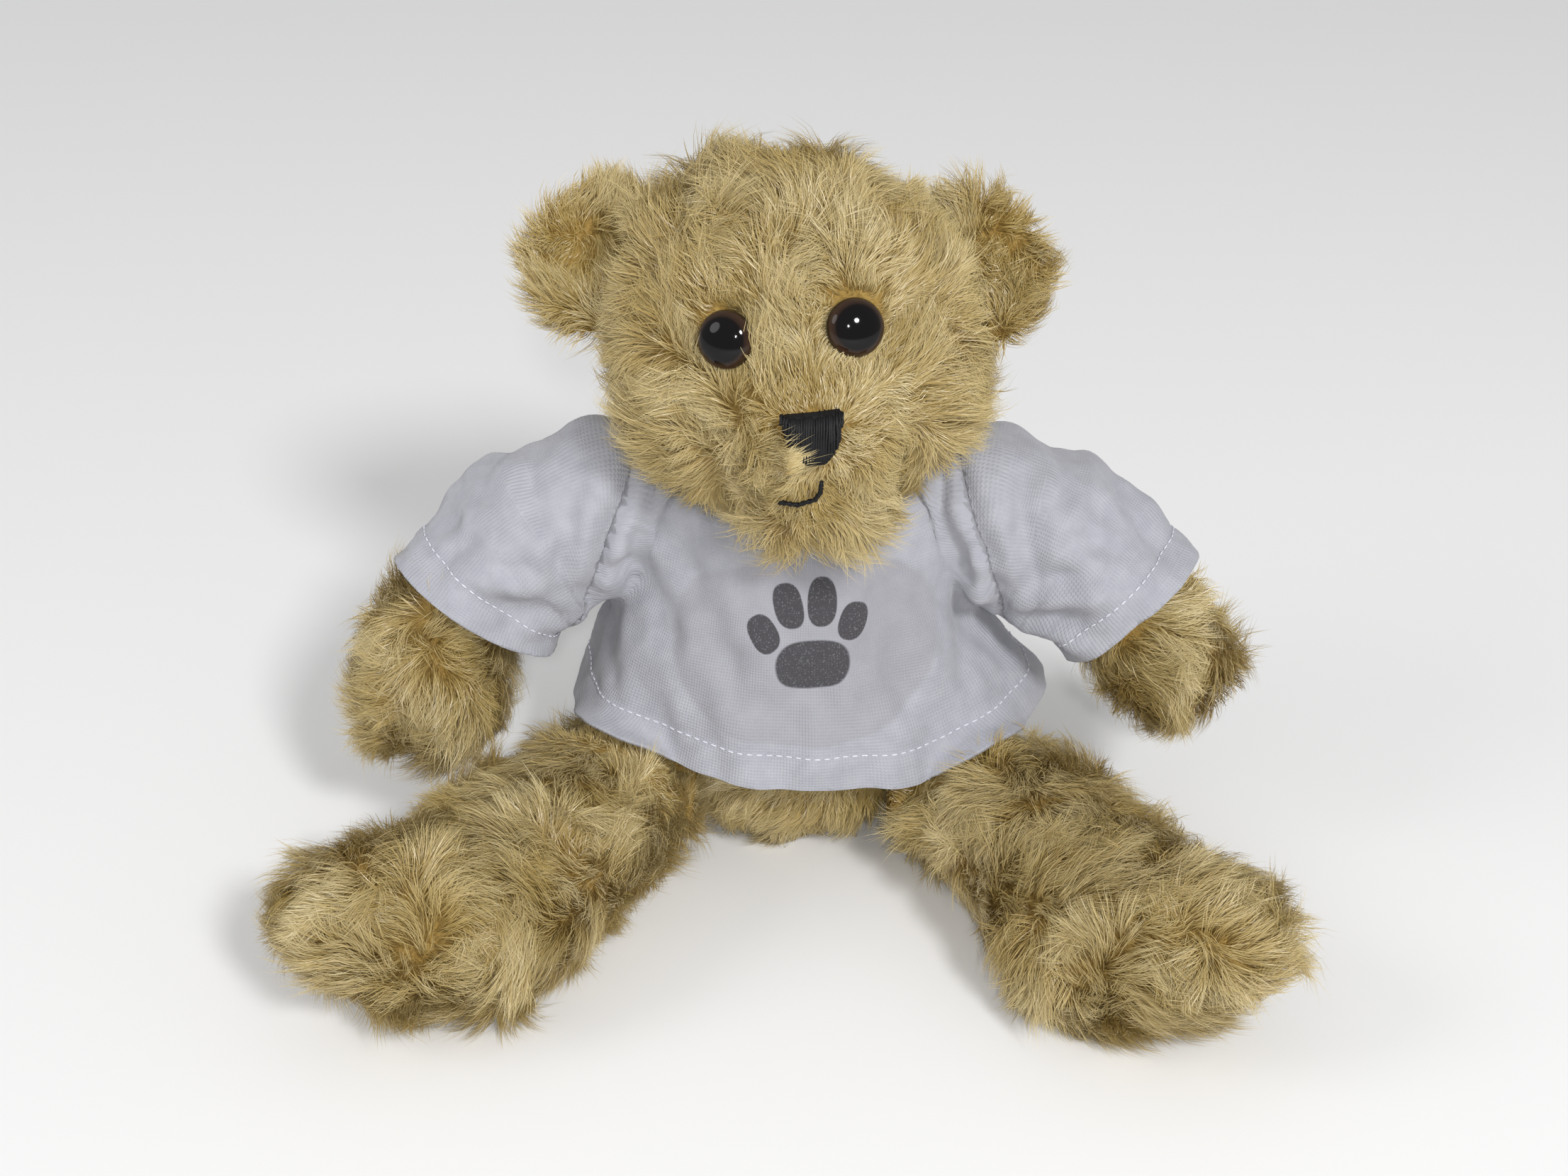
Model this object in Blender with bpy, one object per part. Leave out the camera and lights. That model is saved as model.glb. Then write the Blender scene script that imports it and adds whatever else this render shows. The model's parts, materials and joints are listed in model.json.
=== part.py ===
"""A jointed teddy bear, sitting with its legs spread, in a short-sleeved jersey shirt.

Metres, +Z up. The bear faces -Y, so its own right side is at -X. Its head, arms and legs each turn on a
plastic disc joint: a stud in the limb, whose shank passes both skins into the torso, where a backing
washer and a push-on lock ring hold it.
"""

import math

import bmesh
import bpy
import numpy as np
from mathutils import Matrix, Vector

MM = 0.001

# Plush: the skin is the woven backing with the pile standing on it, cut through at half its height.
SKIN = 1.2 * MM
GAP = 0.3 * MM
FILL_GAP = 1.4 * MM  # between a skin and its stuffing
SOFTNESS = 2.2 * MM  # how far two neighbouring swellings melt into each other

# Torso
NECK_HEIGHT = 88 * MM
SHOULDER = Vector((27, 4, 78)) * MM  # middle of the flat face on which the left arm turns
HIP = Vector((21, -13, 19)) * MM  # middle of the flat face on which the left leg turns
HIP_YAW = math.radians(15)  # the hip axis points outward and this much backward

# Head
HEAD_CENTRE = Vector((0, -4, 124)) * MM
HEAD_PITCH = math.radians(20)  # the face looks up
HEAD_ROLL = math.radians(-7)  # and the crown leans to the bear's right
HEAD_GRID = {"rings": 17, "segments": 24}
EYE_RADIUS = 6 * MM
EYE_DOME = 4.4 * MM
EYE_SPACING = 25.4 * MM
EYE_HEIGHT = 6.2 * MM
NOSE_OFFSET = 3 * MM  # the nose and the mouth are sewn a little to the bear's left
EYE_SHANK = 1.8 * MM
EAR_SET = {  # left, right: how far each ear leans out, and the middle of its lower edge on the head
    1: (math.radians(66), Vector((27.2, 9, 5.5)) * MM),
    -1: (math.radians(58), Vector((-30.5, 9, 14)) * MM),
}

# Limbs
ARM_RADIUS = 13.2 * MM
FOREARM = {  # left, right: the last two points down the middle of each arm, in mm
    1: [(81.5, -8, 54.5), (86, -9.5, 48)],
    -1: [(81, -10, 49.5), (82.5, -12.5, 38)],
}
PAW_SWELL = {1: (1.16, 1.18), -1: (1.28, 1.36)}
LEG_RADIUS = 18.6 * MM
LEG_LENGTH = 77 * MM  # hip ball to the middle of the foot
LEG_SPLAY = {1: math.radians(31.5), -1: math.radians(34)}  # left, right
LEG_SAG = {1: 1.8 * MM, -1: -3 * MM}  # how far the middle of each leg lies out from its straight line
LEG_SPREAD = {1: 1.1 * MM, -1: 1.7 * MM}  # how much wider than tall it grows, at each step along it

# Disc joints
DISC_RADII = {"neck": 8 * MM, "shoulder": 5.2 * MM, "hip": 6 * MM}
DISC_THICKNESS = 1.6 * MM
SHANK_RADIUS = 2 * MM
SHANK_LENGTH = 4.6 * MM
LOCK_RADIUS = 4.2 * MM
LOCK_THICKNESS = 1.2 * MM

# Shirt
CLOTH = 1.1 * MM
HEM_HEIGHT = 38.5 * MM
ARMHOLE_RADIUS = 15.8 * MM

PLUSH = ("golden plush", (0.52, 0.38, 0.19), 0.9, 0.0)
STUFFING = ("white polyester stuffing", (0.85, 0.85, 0.83), 0.95, 0.0)
JOINT_PLASTIC = ("white joint plastic", (0.8, 0.8, 0.78), 0.45, 0.0)
EYE_PLASTIC = ("dark eye plastic", (0.02, 0.012, 0.008), 0.08, 0.0)
THREAD = ("black thread", (0.012, 0.012, 0.014), 0.55, 0.0)
JERSEY = ("pale lavender jersey", (0.62, 0.62, 0.72), 0.85, 0.0)


def material(finish):
    name, colour, roughness, metallic = finish
    found = bpy.data.materials.get(name)
    if found:
        return found
    made = bpy.data.materials.new(name)
    made.use_nodes = True
    shader = made.node_tree.nodes["Principled BSDF"]
    shader.inputs["Base Color"].default_value = (*colour, 1)
    shader.inputs["Roughness"].default_value = roughness
    shader.inputs["Metallic"].default_value = metallic
    return made


def hinge_frame(origin, axis):
    """A frame at origin whose Z runs along the joint axis, out of the torso."""
    turn = Vector(axis).to_track_quat("Z", "Y").to_matrix().to_4x4()
    return Matrix.Translation(origin) @ turn


def empty(name, frame):
    pivot = bpy.data.objects.new(name, None)
    pivot.matrix_world = frame
    pivot.empty_display_size = 0.02
    bpy.context.collection.objects.link(pivot)
    return pivot


def solid(name, vertices, faces, finish, pivot=None, smooth=True):
    """A named mesh object, parented to its body's pivot. Without a finish it's a hidden cutter."""
    mesh = bpy.data.meshes.new(name)
    mesh.from_pydata([tuple(point) for point in vertices], [], faces)
    shape = bmesh.new()
    shape.from_mesh(mesh)
    bmesh.ops.recalc_face_normals(shape, faces=shape.faces)
    shape.to_mesh(mesh)
    shape.free()
    mesh.shade_smooth() if smooth else mesh.shade_flat()
    made = bpy.data.objects.new(name, mesh)
    bpy.context.collection.objects.link(made)
    if finish:
        mesh.materials.append(material(finish))
    else:
        made.hide_render = True
        made.display_type = "WIRE"
    if pivot:
        made.parent = pivot
        made.matrix_parent_inverse = pivot.matrix_world.inverted()
    return made


def tube(rings, capped=True):
    """Vertices and faces of a tube through equal rings of points, closed at both ends if capped."""
    count = len(rings[0])
    vertices = [point for ring in rings for point in ring]
    faces = []
    for row in range(len(rings) - 1):
        for i in range(count):
            j = (i + 1) % count
            low, high = row * count, (row + 1) * count
            faces.append((low + i, low + j, high + j, high + i))
    if capped:
        faces.append(tuple(range(count)))
        faces.append(tuple(range(len(vertices) - count, len(vertices))))
    return vertices, faces


def circle(radius, height, segments):
    steps = [2 * math.pi * i / segments for i in range(segments)]
    return [Vector((radius * math.cos(a), radius * math.sin(a), height)) for a in steps]


def turned(name, frame, profile, finish, pivot=None, segments=18):
    """A solid of revolution about the frame's Z. The profile is (radius, height) pairs, bottom to top."""
    rings = [[frame @ point for point in circle(radius, height, segments)] for radius, height in profile]
    return solid(name, *tube(rings), finish, pivot)


def pierced(name, frame, inner, outer, low, high, finish, pivot=None, segments=18):
    """A washer about the frame's Z."""
    corners = ((inner, low), (outer, low), (outer, high), (inner, high), (inner, low))
    rings = [[frame @ point for point in circle(radius, height, segments)] for radius, height in corners]
    vertices, faces = tube(rings[:-1], capped=False)
    last = 3 * segments
    for i in range(segments):
        j = (i + 1) % segments
        faces.append((last + i, last + j, j, i))
    return solid(name, vertices, faces, finish, pivot)


def block(name, point, normal, height):
    """A cutter that fills the space behind a plane, and this much in front of it."""
    frame = hinge_frame(point, normal)
    corners = ((-1, -1), (1, -1), (1, 1), (-1, 1))
    rings = [[frame @ Vector((0.15 * x, 0.15 * y, z)) for x, y in corners] for z in (-0.1, height)]
    return solid(name, *tube(rings), None, smooth=False)


def combine(target, other, operation="DIFFERENCE"):
    change = target.modifiers.new(operation.title() + " " + other.name, "BOOLEAN")
    change.operation = operation
    change.object = other
    change.solver = "EXACT"
    return target


class Plush:
    """A stuffed shape: one smooth skin over swellings, all of which a point inside it, the heart, can see.

    A swelling is (centre, radius or three radii). Its frame places the swellings. A wall is (point, normal)
    in the world: the shape is flat there, and nothing of it lies behind.
    """

    def __init__(self, heart, swellings, walls=(), frame=None):
        self.frame = frame or Matrix.Identity(4)
        self.heart = np.array(heart)
        self.centres = np.array([centre for centre, _ in swellings])
        self.radii = np.array([np.broadcast_to(radii, 3) for _, radii in swellings])
        self.walls = walls

    def depth(self, points):
        away = (points[:, None, :] - self.centres) / self.radii
        reach = (np.linalg.norm(away, axis=2) - 1) * self.radii.min(axis=1)
        return -SOFTNESS * np.log(np.exp(-reach / SOFTNESS).sum(axis=1))

    def surface(self, directions, inset=0.0):
        """The skin's points along these directions from the heart, in the world, drawn in by the inset."""
        near = np.zeros(len(directions))
        far = np.full(len(directions), 0.16)
        for _ in range(26):
            middle = (near + far) / 2
            inside = self.depth(self.heart + directions * middle[:, None]) < -inset
            near = np.where(inside, middle, near)
            far = np.where(inside, far, middle)
        local = self.heart + directions * near[:, None]
        turn = np.array(self.frame)
        return local @ turn[:3, :3].T + turn[:3, 3]

    def points(self, inset, rings, segments, pole=(0, 0, 1), stretch=1.0):
        """Both poles and the rings between them. Stretch spreads the rings evenly along a long shape."""
        turn = np.array(Vector(pole).to_track_quat("Z", "Y").to_matrix())
        polar = np.pi * np.arange(1, rings) / rings
        around = 2 * np.pi * np.arange(segments) / segments
        grid = [
            (math.sin(p) * math.cos(a), math.sin(p) * math.sin(a), stretch * math.cos(p))
            for p in polar
            for a in around
        ]
        directions = np.array([(0, 0, 1), *grid, (0, 0, -1)]) @ turn.T
        directions /= np.linalg.norm(directions, axis=1, keepdims=True)
        return self.surface(directions, inset)

    def solid(self, name, finish, pivot=None, inset=0.0, rings=16, segments=20, **grid):
        points = self.points(inset, rings, segments, **grid)
        last = len(points) - 1
        faces = []
        for i in range(segments):
            j = (i + 1) % segments
            faces.append((0, 1 + i, 1 + j))
            for row in range(rings - 2):
                low = 1 + row * segments
                faces.append((low + i, low + segments + i, low + segments + j, low + j))
            low = last - segments
            faces.append((low + i, last, low + j))
        made = solid(name, points, faces, finish, pivot)
        for number, (point, normal) in enumerate(self.walls):
            combine(made, block(f"{name}_wall_{number}", point, normal, inset))
        return made

    def skin(self, name, pivot, holes, **grid):
        """The skin as a shell. The holes, cutters through it, leave no sealed hollow."""
        made = self.solid(name, PLUSH, pivot, **grid)
        hollow = self.solid(name + "_hollow", None, pivot, inset=SKIN, **grid)
        combine(made, hollow)
        for hole in holes:
            combine(made, hole)
        return made

    def stuffing(self, name, pivot, pockets, **grid):
        made = self.solid(name, STUFFING, pivot, inset=SKIN + FILL_GAP, **grid)
        for pocket in pockets:
            combine(made, pocket)
        return made


class Sausage(Plush):
    """A bent stuffed tube with round ends, from its middle line and its radius at each point of it."""

    def __init__(self, spine, radii, walls=()):
        self.spine = np.array(spine)
        self.radii = np.array(radii)
        self.walls = walls

    def points(self, inset, rings, segments):
        radii = self.radii - inset
        legs = np.linalg.norm(np.diff(self.spine, axis=0), axis=1)
        marks = np.concatenate([[0], np.cumsum(legs)])
        around = 2 * np.pi * np.arange(segments) / segments
        found = []
        for place in np.linspace(-radii[0], marks[-1] + radii[-1], rings + 1):
            along = np.clip(place, 0, marks[-1])
            beyond = place - along
            nearby = np.clip([along - 4 * MM, along + 4 * MM], 0, marks[-1])
            ends = np.stack([np.interp(nearby, marks, column) for column in self.spine.T], axis=1)
            tangent = (ends[1] - ends[0]) / np.linalg.norm(ends[1] - ends[0])
            middle = np.array([np.interp(along, marks, column) for column in self.spine.T]) + tangent * beyond
            radius = math.sqrt(max(0.0, np.interp(along, marks, radii) ** 2 - beyond**2))
            if radius < 1e-6:
                found.append(middle[None])
                continue
            side = np.cross((0, 1, 0), tangent)
            side /= np.linalg.norm(side)
            other = np.cross(tangent, side)
            ring = np.outer(np.cos(around), side) + np.outer(np.sin(around), other)
            found.append(middle + radius * ring)
        return np.concatenate(found)


def disc_joint(name, frame, torso_pivot, limb_pivot):
    """A stud in the limb, and its washer and lock ring in the torso. The frame's Z points into the limb."""
    skin = SKIN + 1.5 * GAP
    shank_end = skin + SHANK_LENGTH
    disc = DISC_RADII[name.split("_")[0]]
    turned(
        name + "_stud",
        frame,
        (
            (SHANK_RADIUS - 0.4 * MM, -shank_end),
            (SHANK_RADIUS, -shank_end + 0.6 * MM),
            (SHANK_RADIUS, skin),
            (disc, skin),
            (disc, skin + 0.8 * DISC_THICKNESS),
            (disc - 0.6 * MM, skin + DISC_THICKNESS),
        ),
        JOINT_PLASTIC,
        limb_pivot,
    )
    hole = SHANK_RADIUS + GAP
    pierced(name + "_washer", frame, hole, disc, -skin - DISC_THICKNESS, -skin, JOINT_PLASTIC, torso_pivot)
    lock_top = -skin - DISC_THICKNESS - GAP
    pierced(
        name + "_lock_ring",
        frame,
        hole,
        LOCK_RADIUS,
        lock_top - LOCK_THICKNESS,
        lock_top,
        JOINT_PLASTIC,
        torso_pivot,
        segments=16,
    )


def joint_cutters(name, frame):
    """The hole through both skins, the stud's pocket in the limb's stuffing, and the torso's own pocket."""
    hole = SHANK_RADIUS + 0.4 * MM
    room = DISC_RADII[name.split("_")[0]] + 2 * GAP
    shaft = turned(name + "_hole", frame, ((hole, -4 * MM), (hole, 4 * MM)), None)
    ends = (-8 * MM, SKIN + DISC_THICKNESS + 3 * GAP)
    limb = turned(name + "_limb_pocket", frame, ((room, ends[0]), (room, ends[1])), None)
    deep = -(SKIN + SHANK_LENGTH + 4 * GAP)
    torso = turned(name + "_torso_pocket", frame, ((room, deep), (room, 8 * MM)), None)
    return shaft, limb, torso


def mirrored(point, side):
    """The point on the bear's left (side 1) or right (side -1)."""
    return Vector((side * point[0], point[1], point[2]))


def hip_axis(side):
    return Vector((side * math.cos(HIP_YAW), math.sin(HIP_YAW), 0))


def floor_wall():
    return ((0, 0, 0), (0, 0, 1))


def torso_shape():
    swellings = (
        ((0, 4 * MM, 44 * MM), (36 * MM, 29 * MM, 31 * MM)),
        ((0, 3 * MM, 68 * MM), (30 * MM, 25 * MM, 21 * MM)),
        ((0, 8 * MM, 16 * MM), (31 * MM, 24 * MM, 18 * MM)),
        ((0, -9 * MM, 20 * MM), (29 * MM, 18.5 * MM, 19.5 * MM)),
        ((18 * MM, 4 * MM, 77.5 * MM), 11.3 * MM),
        ((-18 * MM, 4 * MM, 77.5 * MM), 11.3 * MM),
        ((0, 1 * MM, 80 * MM), (13 * MM, 13 * MM, 12 * MM)),
    )
    walls = [floor_wall(), ((0, 0, NECK_HEIGHT - GAP / 2), (0, 0, -1))]
    return Plush((0, 2 * MM, 48 * MM), swellings, walls)


def hip_notch(name, side, inset):
    """Room in the torso for the leg to turn in: a round about the hip axis, open to the front and below."""
    room = LEG_RADIUS + 1 * MM + inset
    axis = hip_axis(side)
    up = Vector((0, 0, 1))
    front = side * up.cross(axis) * -1
    centre = mirrored(HIP, side)
    reach = 70 * MM
    turns = np.linspace(math.pi / 2, -math.pi / 2, 14)
    arc = [centre + room * (up * math.sin(a) - front * math.cos(a)) for a in turns]
    outline = [*arc, centre + reach * (front - up), centre + reach * front + room * up]
    rings = [[point + axis * height for point in outline] for height in (-GAP / 2 - inset, 60 * MM)]
    return solid(name, *tube(rings), None, smooth=False)


def shoulder_notch(name, side, inset):
    """Room for the arm's round end: the torso is flat where the arm turns against it."""
    frame = hinge_frame(mirrored(SHOULDER, side), (side, 0, 0))
    room = ARMHOLE_RADIUS + inset
    return turned(name, frame, ((room, -GAP / 2 - inset), (room, 30 * MM)), None, segments=24)


def build_torso(pivot, cutters):
    shape = torso_shape()
    grid = {"rings": 16, "segments": 24}
    skin = shape.solid("torso_skin", PLUSH, pivot, **grid)
    hollow = shape.solid("torso_hollow", None, pivot, inset=SKIN, **grid)
    stuffing = shape.solid("torso_stuffing", STUFFING, pivot, inset=SKIN + FILL_GAP, rings=12, segments=20)
    for piece, inset in ((skin, 0), (hollow, SKIN), (stuffing, SKIN + FILL_GAP)):
        for side, label in ((1, "left"), (-1, "right")):
            combine(piece, hip_notch(f"{piece.name}_hip_notch_{label}", side, inset))
            combine(piece, shoulder_notch(f"{piece.name}_shoulder_notch_{label}", side, inset))
    combine(skin, hollow)
    for shaft, _, pocket in cutters.values():
        combine(skin, shaft)
        combine(stuffing, pocket)


def head_frame():
    turn = Matrix.Rotation(HEAD_ROLL, 4, "Y") @ Matrix.Rotation(-HEAD_PITCH, 4, "X")
    return Matrix.Translation(HEAD_CENTRE) @ turn


def head_shape():
    swellings = (
        ((0, 1 * MM, 4 * MM), (39 * MM, 35 * MM, 36 * MM)),
        ((-15 * MM, 2 * MM, 15 * MM), (22 * MM, 25 * MM, 24.5 * MM)),
        ((19 * MM, -9 * MM, -9 * MM), (20 * MM, 20 * MM, 19 * MM)),
        ((-19 * MM, -9 * MM, -9 * MM), (20 * MM, 20 * MM, 19 * MM)),
        ((1.5 * MM, -27 * MM, -14 * MM), (17 * MM, 16 * MM, 13 * MM)),
        ((1.5 * MM, -18 * MM, -29 * MM), (15 * MM, 14 * MM, 12 * MM)),
        ((-2 * MM, 13 * MM, -25 * MM), (15 * MM, 14 * MM, 12 * MM)),
    )
    neck = ((0, 0, NECK_HEIGHT + GAP / 2), (0, 0, 1))
    return Plush((0, -4 * MM, -4 * MM), swellings, [neck], head_frame())


def on_face(shape, x, z):
    """The point and the outward normal of the head's skin straight in front of (x, z) of the head frame."""
    start = np.array((x, -0.06, z))
    target = np.array((x, 0.0, z))
    step = (target - start) / 400
    points = start + step * np.arange(400)[:, None]
    first = points[np.argmax(shape.depth(points) < 0)]
    small = 0.2 * MM
    steps = small * np.eye(3)
    slope = shape.depth(first + steps) - shape.depth(first - steps)
    normal = Vector(slope).normalized()
    return shape.frame @ Vector(first), (shape.frame.to_3x3() @ normal).normalized()


def build_eyes(shape, pivot):
    """Domed safety eyes. Their shanks pass the skin and are held by washers inside the head."""
    holes, pockets = [], []
    for side, label in ((1, "left"), (-1, "right")):
        point, normal = on_face(shape, side * EYE_SPACING / 2, EYE_HEIGHT)
        frame = hinge_frame(point, normal)
        dome = [
            (EYE_RADIUS * math.cos(a), GAP + 0.8 * MM + (EYE_DOME - 0.8 * MM) * math.sin(a))
            for a in np.radians((0, 22, 45, 66, 84))
        ]
        length = 8.5 * MM
        profile = [(EYE_SHANK - 0.3 * MM, -length), (EYE_SHANK, -length + 0.5 * MM), (EYE_SHANK, GAP)]
        profile += [(EYE_RADIUS - 0.3 * MM, GAP), *dome]
        turned("eye_" + label, frame, profile, EYE_PLASTIC, pivot)
        back = -SKIN - 1.2 * MM
        ring = EYE_SHANK + GAP
        pierced("eye_washer_" + label, frame, ring, 5.5 * MM, back - 1.4 * MM, back, JOINT_PLASTIC, pivot)
        hole = turned(f"eye_{label}_hole", frame, ((ring, -6 * MM), (ring, 4 * MM)), None)
        pocket = turned(f"eye_{label}_pocket", frame, ((6.1 * MM, -9.4 * MM), (6.1 * MM, 4 * MM)), None)
        holes.append(hole)
        pockets.append(pocket)
    return holes, pockets


def build_nose(shape, pivot):
    """The satin-stitched nose: a rounded shield, wide at the top, lying on the muzzle."""
    middle, half_top, half_low, height = -14 * MM, 6.2 * MM, 3.8 * MM, 10.2 * MM
    rows, columns = 9, 10
    low, high = [], []
    for r in range(rows):
        t = r / (rows - 1)
        z = middle + height / 2 - height * t
        corner = math.sqrt(max(0.0, 1 - max(0.0, (t - 0.55) / 0.5) ** 2))
        half = (half_top + (half_low - half_top) * t) * corner * (0.9 if r == 0 else 1)
        for c in range(columns):
            x = NOSE_OFFSET + half * (2 * c / (columns - 1) - 1)
            point, normal = on_face(shape, x, z)
            edge = r in (0, rows - 1) or c in (0, columns - 1)
            low.append(point + normal * GAP)
            high.append(point + normal * (GAP + (0.7 * MM if edge else 1.5 * MM)))
    count = rows * columns
    faces = []
    for r in range(rows - 1):
        for c in range(columns - 1):
            i = r * columns + c
            faces.append((i, i + 1, i + columns + 1, i + columns))
            faces.append(tuple(count + k for k in (i, i + columns, i + columns + 1, i + 1)))
    top = list(range(columns))
    right = [r * columns + columns - 1 for r in range(1, rows)]
    bottom = [(rows - 1) * columns + c for c in range(columns - 2, -1, -1)]
    left = [r * columns for r in range(rows - 2, 0, -1)]
    rim = top + right + bottom + left
    for i, j in zip(rim, rim[1:] + rim[:1]):
        faces.append((j, i, count + i, count + j))
    solid("nose", low + high, faces, THREAD, pivot)


def build_mouth(shape, pivot):
    """One black thread: down from the nose, then away to the bear's right in a shallow smile."""
    route = ((0.6, -22.5), (0.2, -24.6), (-1, -26.6), (-4.2, -27.8), (-8.4, -27.2))
    centre = []
    for x, z in route:
        point, normal = on_face(shape, NOSE_OFFSET + x * MM, z * MM)
        centre.append(point + normal * (GAP + 0.5 * MM))
    rings = []
    for i, point in enumerate(centre):
        along = (centre[min(i + 1, len(centre) - 1)] - centre[max(i - 1, 0)]).normalized()
        frame = hinge_frame(point, along)
        rings.append([frame @ p for p in circle(0.4 * MM, 0, 8)])
    solid("mouth", *tube(rings), THREAD, pivot)


def build_ears(pivot):
    """Round cupped ears of two plush layers, sewn to the head along their lower edge."""
    frame = head_frame()
    for side, label in ((1, "left"), (-1, "right")):
        lean, root = EAR_SET[side]
        turn = Matrix.Rotation(side * lean, 4, "Y") @ Matrix.Rotation(side * math.radians(-18), 4, "Z")
        place = frame @ Matrix.Translation(root) @ turn
        rings = []
        across, steps = 20, 9
        for k in range(steps):
            t = k / (steps - 1)
            face = -1 + 2 * t
            swell = math.sqrt(max(0.0, 1 - face**2)) ** 0.6
            ring = []
            for i in range(across):
                a = 2 * math.pi * i / across
                radius = (0.35 + 0.65 * swell) * 17 * MM
                x = radius * math.cos(a) * 1.05
                z = radius * math.sin(a) * 0.92
                bowl = 4.5 * MM * ((x / 17 / MM) ** 2 + (z / 17 / MM) ** 2)
                y = 3.6 * MM * face - bowl
                ring.append(place @ Vector((x, y, z + 13 * MM)))
            rings.append(ring)
        ear = solid("ear_" + label, *tube(rings), PLUSH, pivot)
        combine(ear, head_shape().solid(f"ear_{label}_seat", None, pivot, inset=-GAP, **HEAD_GRID))


def build_head(pivot, cutters):
    shape = head_shape()
    holes, pockets = build_eyes(shape, pivot)
    shaft, limb_pocket, _ = cutters["neck"]
    shape.skin("head_skin", pivot, [shaft, *holes], **HEAD_GRID)
    shape.stuffing("head_stuffing", pivot, [limb_pocket, *pockets], rings=12, segments=18)
    build_nose(shape, pivot)
    build_mouth(shape, pivot)
    build_ears(pivot)


def arm_spine(side):
    """The middle of the arm: out of the shoulder, then bending down to the paw."""
    route = [(36, 4, 78), (47, 3, 82.5), (58, 0, 79.5), (68, -3, 71.5), (76, -6, 61.5)]
    route += FOREARM[side]
    return [mirrored(Vector(point) * MM, side) for point in route]


def arm_shape(side):
    swell = (0.98, 0.96, 0.98, 1.0, 1.08, *PAW_SWELL[side])
    wall = (mirrored(SHOULDER, side) + Vector((side * GAP / 2, 0, 0)), (side, 0, 0))
    return Sausage(arm_spine(side), [ARM_RADIUS * size for size in swell], [wall])


def build_arm(side, label, pivot, cutters):
    shape = arm_shape(side)
    shaft, pocket, _ = cutters["shoulder_" + label]
    shape.skin(f"arm_{label}_skin", pivot, [shaft], rings=15, segments=16)
    shape.stuffing(f"arm_{label}_stuffing", pivot, [pocket], rings=10, segments=14)


def leg_direction(side):
    return Vector((side * math.sin(LEG_SPLAY[side]), -math.cos(LEG_SPLAY[side]), 0))


def hip_ball(side):
    return mirrored(HIP, side) + hip_axis(side) * (LEG_RADIUS - 5.5 * MM)


def leg_shape(side):
    """A thick tube from the hip ball to a club foot, which stands up and turns outward at its end."""
    along = leg_direction(side)
    ball = hip_ball(side)
    radius = LEG_RADIUS - 2 * MM
    outward = Vector((0, 0, side)).cross(along)
    swellings = [(ball, radius)]
    for step in range(1, 6):
        lift = Vector((0, 0, 0.3 * MM * step))
        tall = radius + 0.3 * MM * step
        wide = tall + LEG_SPREAD[side] * min(step, 3)
        middle = ball + along * LEG_LENGTH * step / 6 + outward * LEG_SAG[side] * min(step, 2) / 2
        swellings.append((middle + lift, (wide, wide, tall)))
    heel = ball + along * LEG_LENGTH + Vector((0, 0, 1 * MM))
    toe = (0.65 * along + 0.62 * outward + 0.35 * Vector((0, 0, 1))).normalized()
    for rise, size in ((-13, 17), (-2, 18.5), (9, 18.5), (19, 16)):
        wide, tall = (size - 0.7) * MM, (size - 1.5) * MM
        swellings.append((heel + toe * rise * MM, (wide, wide, tall)))
    wall = (mirrored(HIP, side) + hip_axis(side) * GAP / 2, hip_axis(side))
    return Plush(ball + along * LEG_LENGTH * 0.7, swellings, [wall, floor_wall()])


def build_leg(side, label, pivot, cutters):
    shape = leg_shape(side)
    shaft, pocket, _ = cutters["hip_" + label]
    grid = {"segments": 18, "pole": leg_direction(side), "stretch": 1.7}
    shape.skin(f"leg_{label}_skin", pivot, [shaft], rings=18, **grid)
    shape.stuffing(f"leg_{label}_stuffing", pivot, [pocket], rings=12, **grid)


def shell(name, rings, thickness, pivot):
    """An open tube of cloth. The rings are its outer face, and the thickness goes inward."""
    made = solid(name, *tube(rings, capped=False), JERSEY, pivot)
    wall = made.modifiers.new("Cloth", "SOLIDIFY")
    wall.thickness = thickness
    wall.offset = -1
    return made


def build_shirt(pivot, frames):
    """The shirt's body, from the hem to the neck, with an armhole on each side, and its neckband."""
    stations = (
        (HEM_HEIGHT, 50, 40, 2),
        (HEM_HEIGHT + 6 * MM, 48, 38.5, 2),
        (53 * MM, 43.5, 36, 3),
        (62 * MM, 40.5, 34, 3),
        (71 * MM, 38.5, 32.5, 3),
        (78 * MM, 36, 30, 3),
        (84 * MM, 33.5, 27, 3),
        (88.4 * MM, 29, 23, 2),
        (89.6 * MM, 19.5, 19.5, 2),
    )
    around = [2 * math.pi * i / 32 for i in range(32)]
    rings = [
        [Vector((half * MM * math.cos(a), back * MM + deep * MM * math.sin(a), height)) for a in around]
        for height, half, deep, back in stations
    ]
    body = shell("shirt_body", rings, CLOTH, pivot)
    for side, label in ((1, "left"), (-1, "right")):
        frame = frames["shoulder_" + label]
        ends = ((ARMHOLE_RADIUS, -2 * MM), (ARMHOLE_RADIUS, 30 * MM))
        hole = turned(f"armhole_{label}", frame, ends, None)
        combine(body, hole)
    neck = Matrix.Translation((0, 2 * MM, 0))
    pierced("shirt_neckband", neck, 17.3 * MM, 18.8 * MM, 88.2 * MM, 90 * MM, JERSEY, pivot, segments=28)


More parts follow.
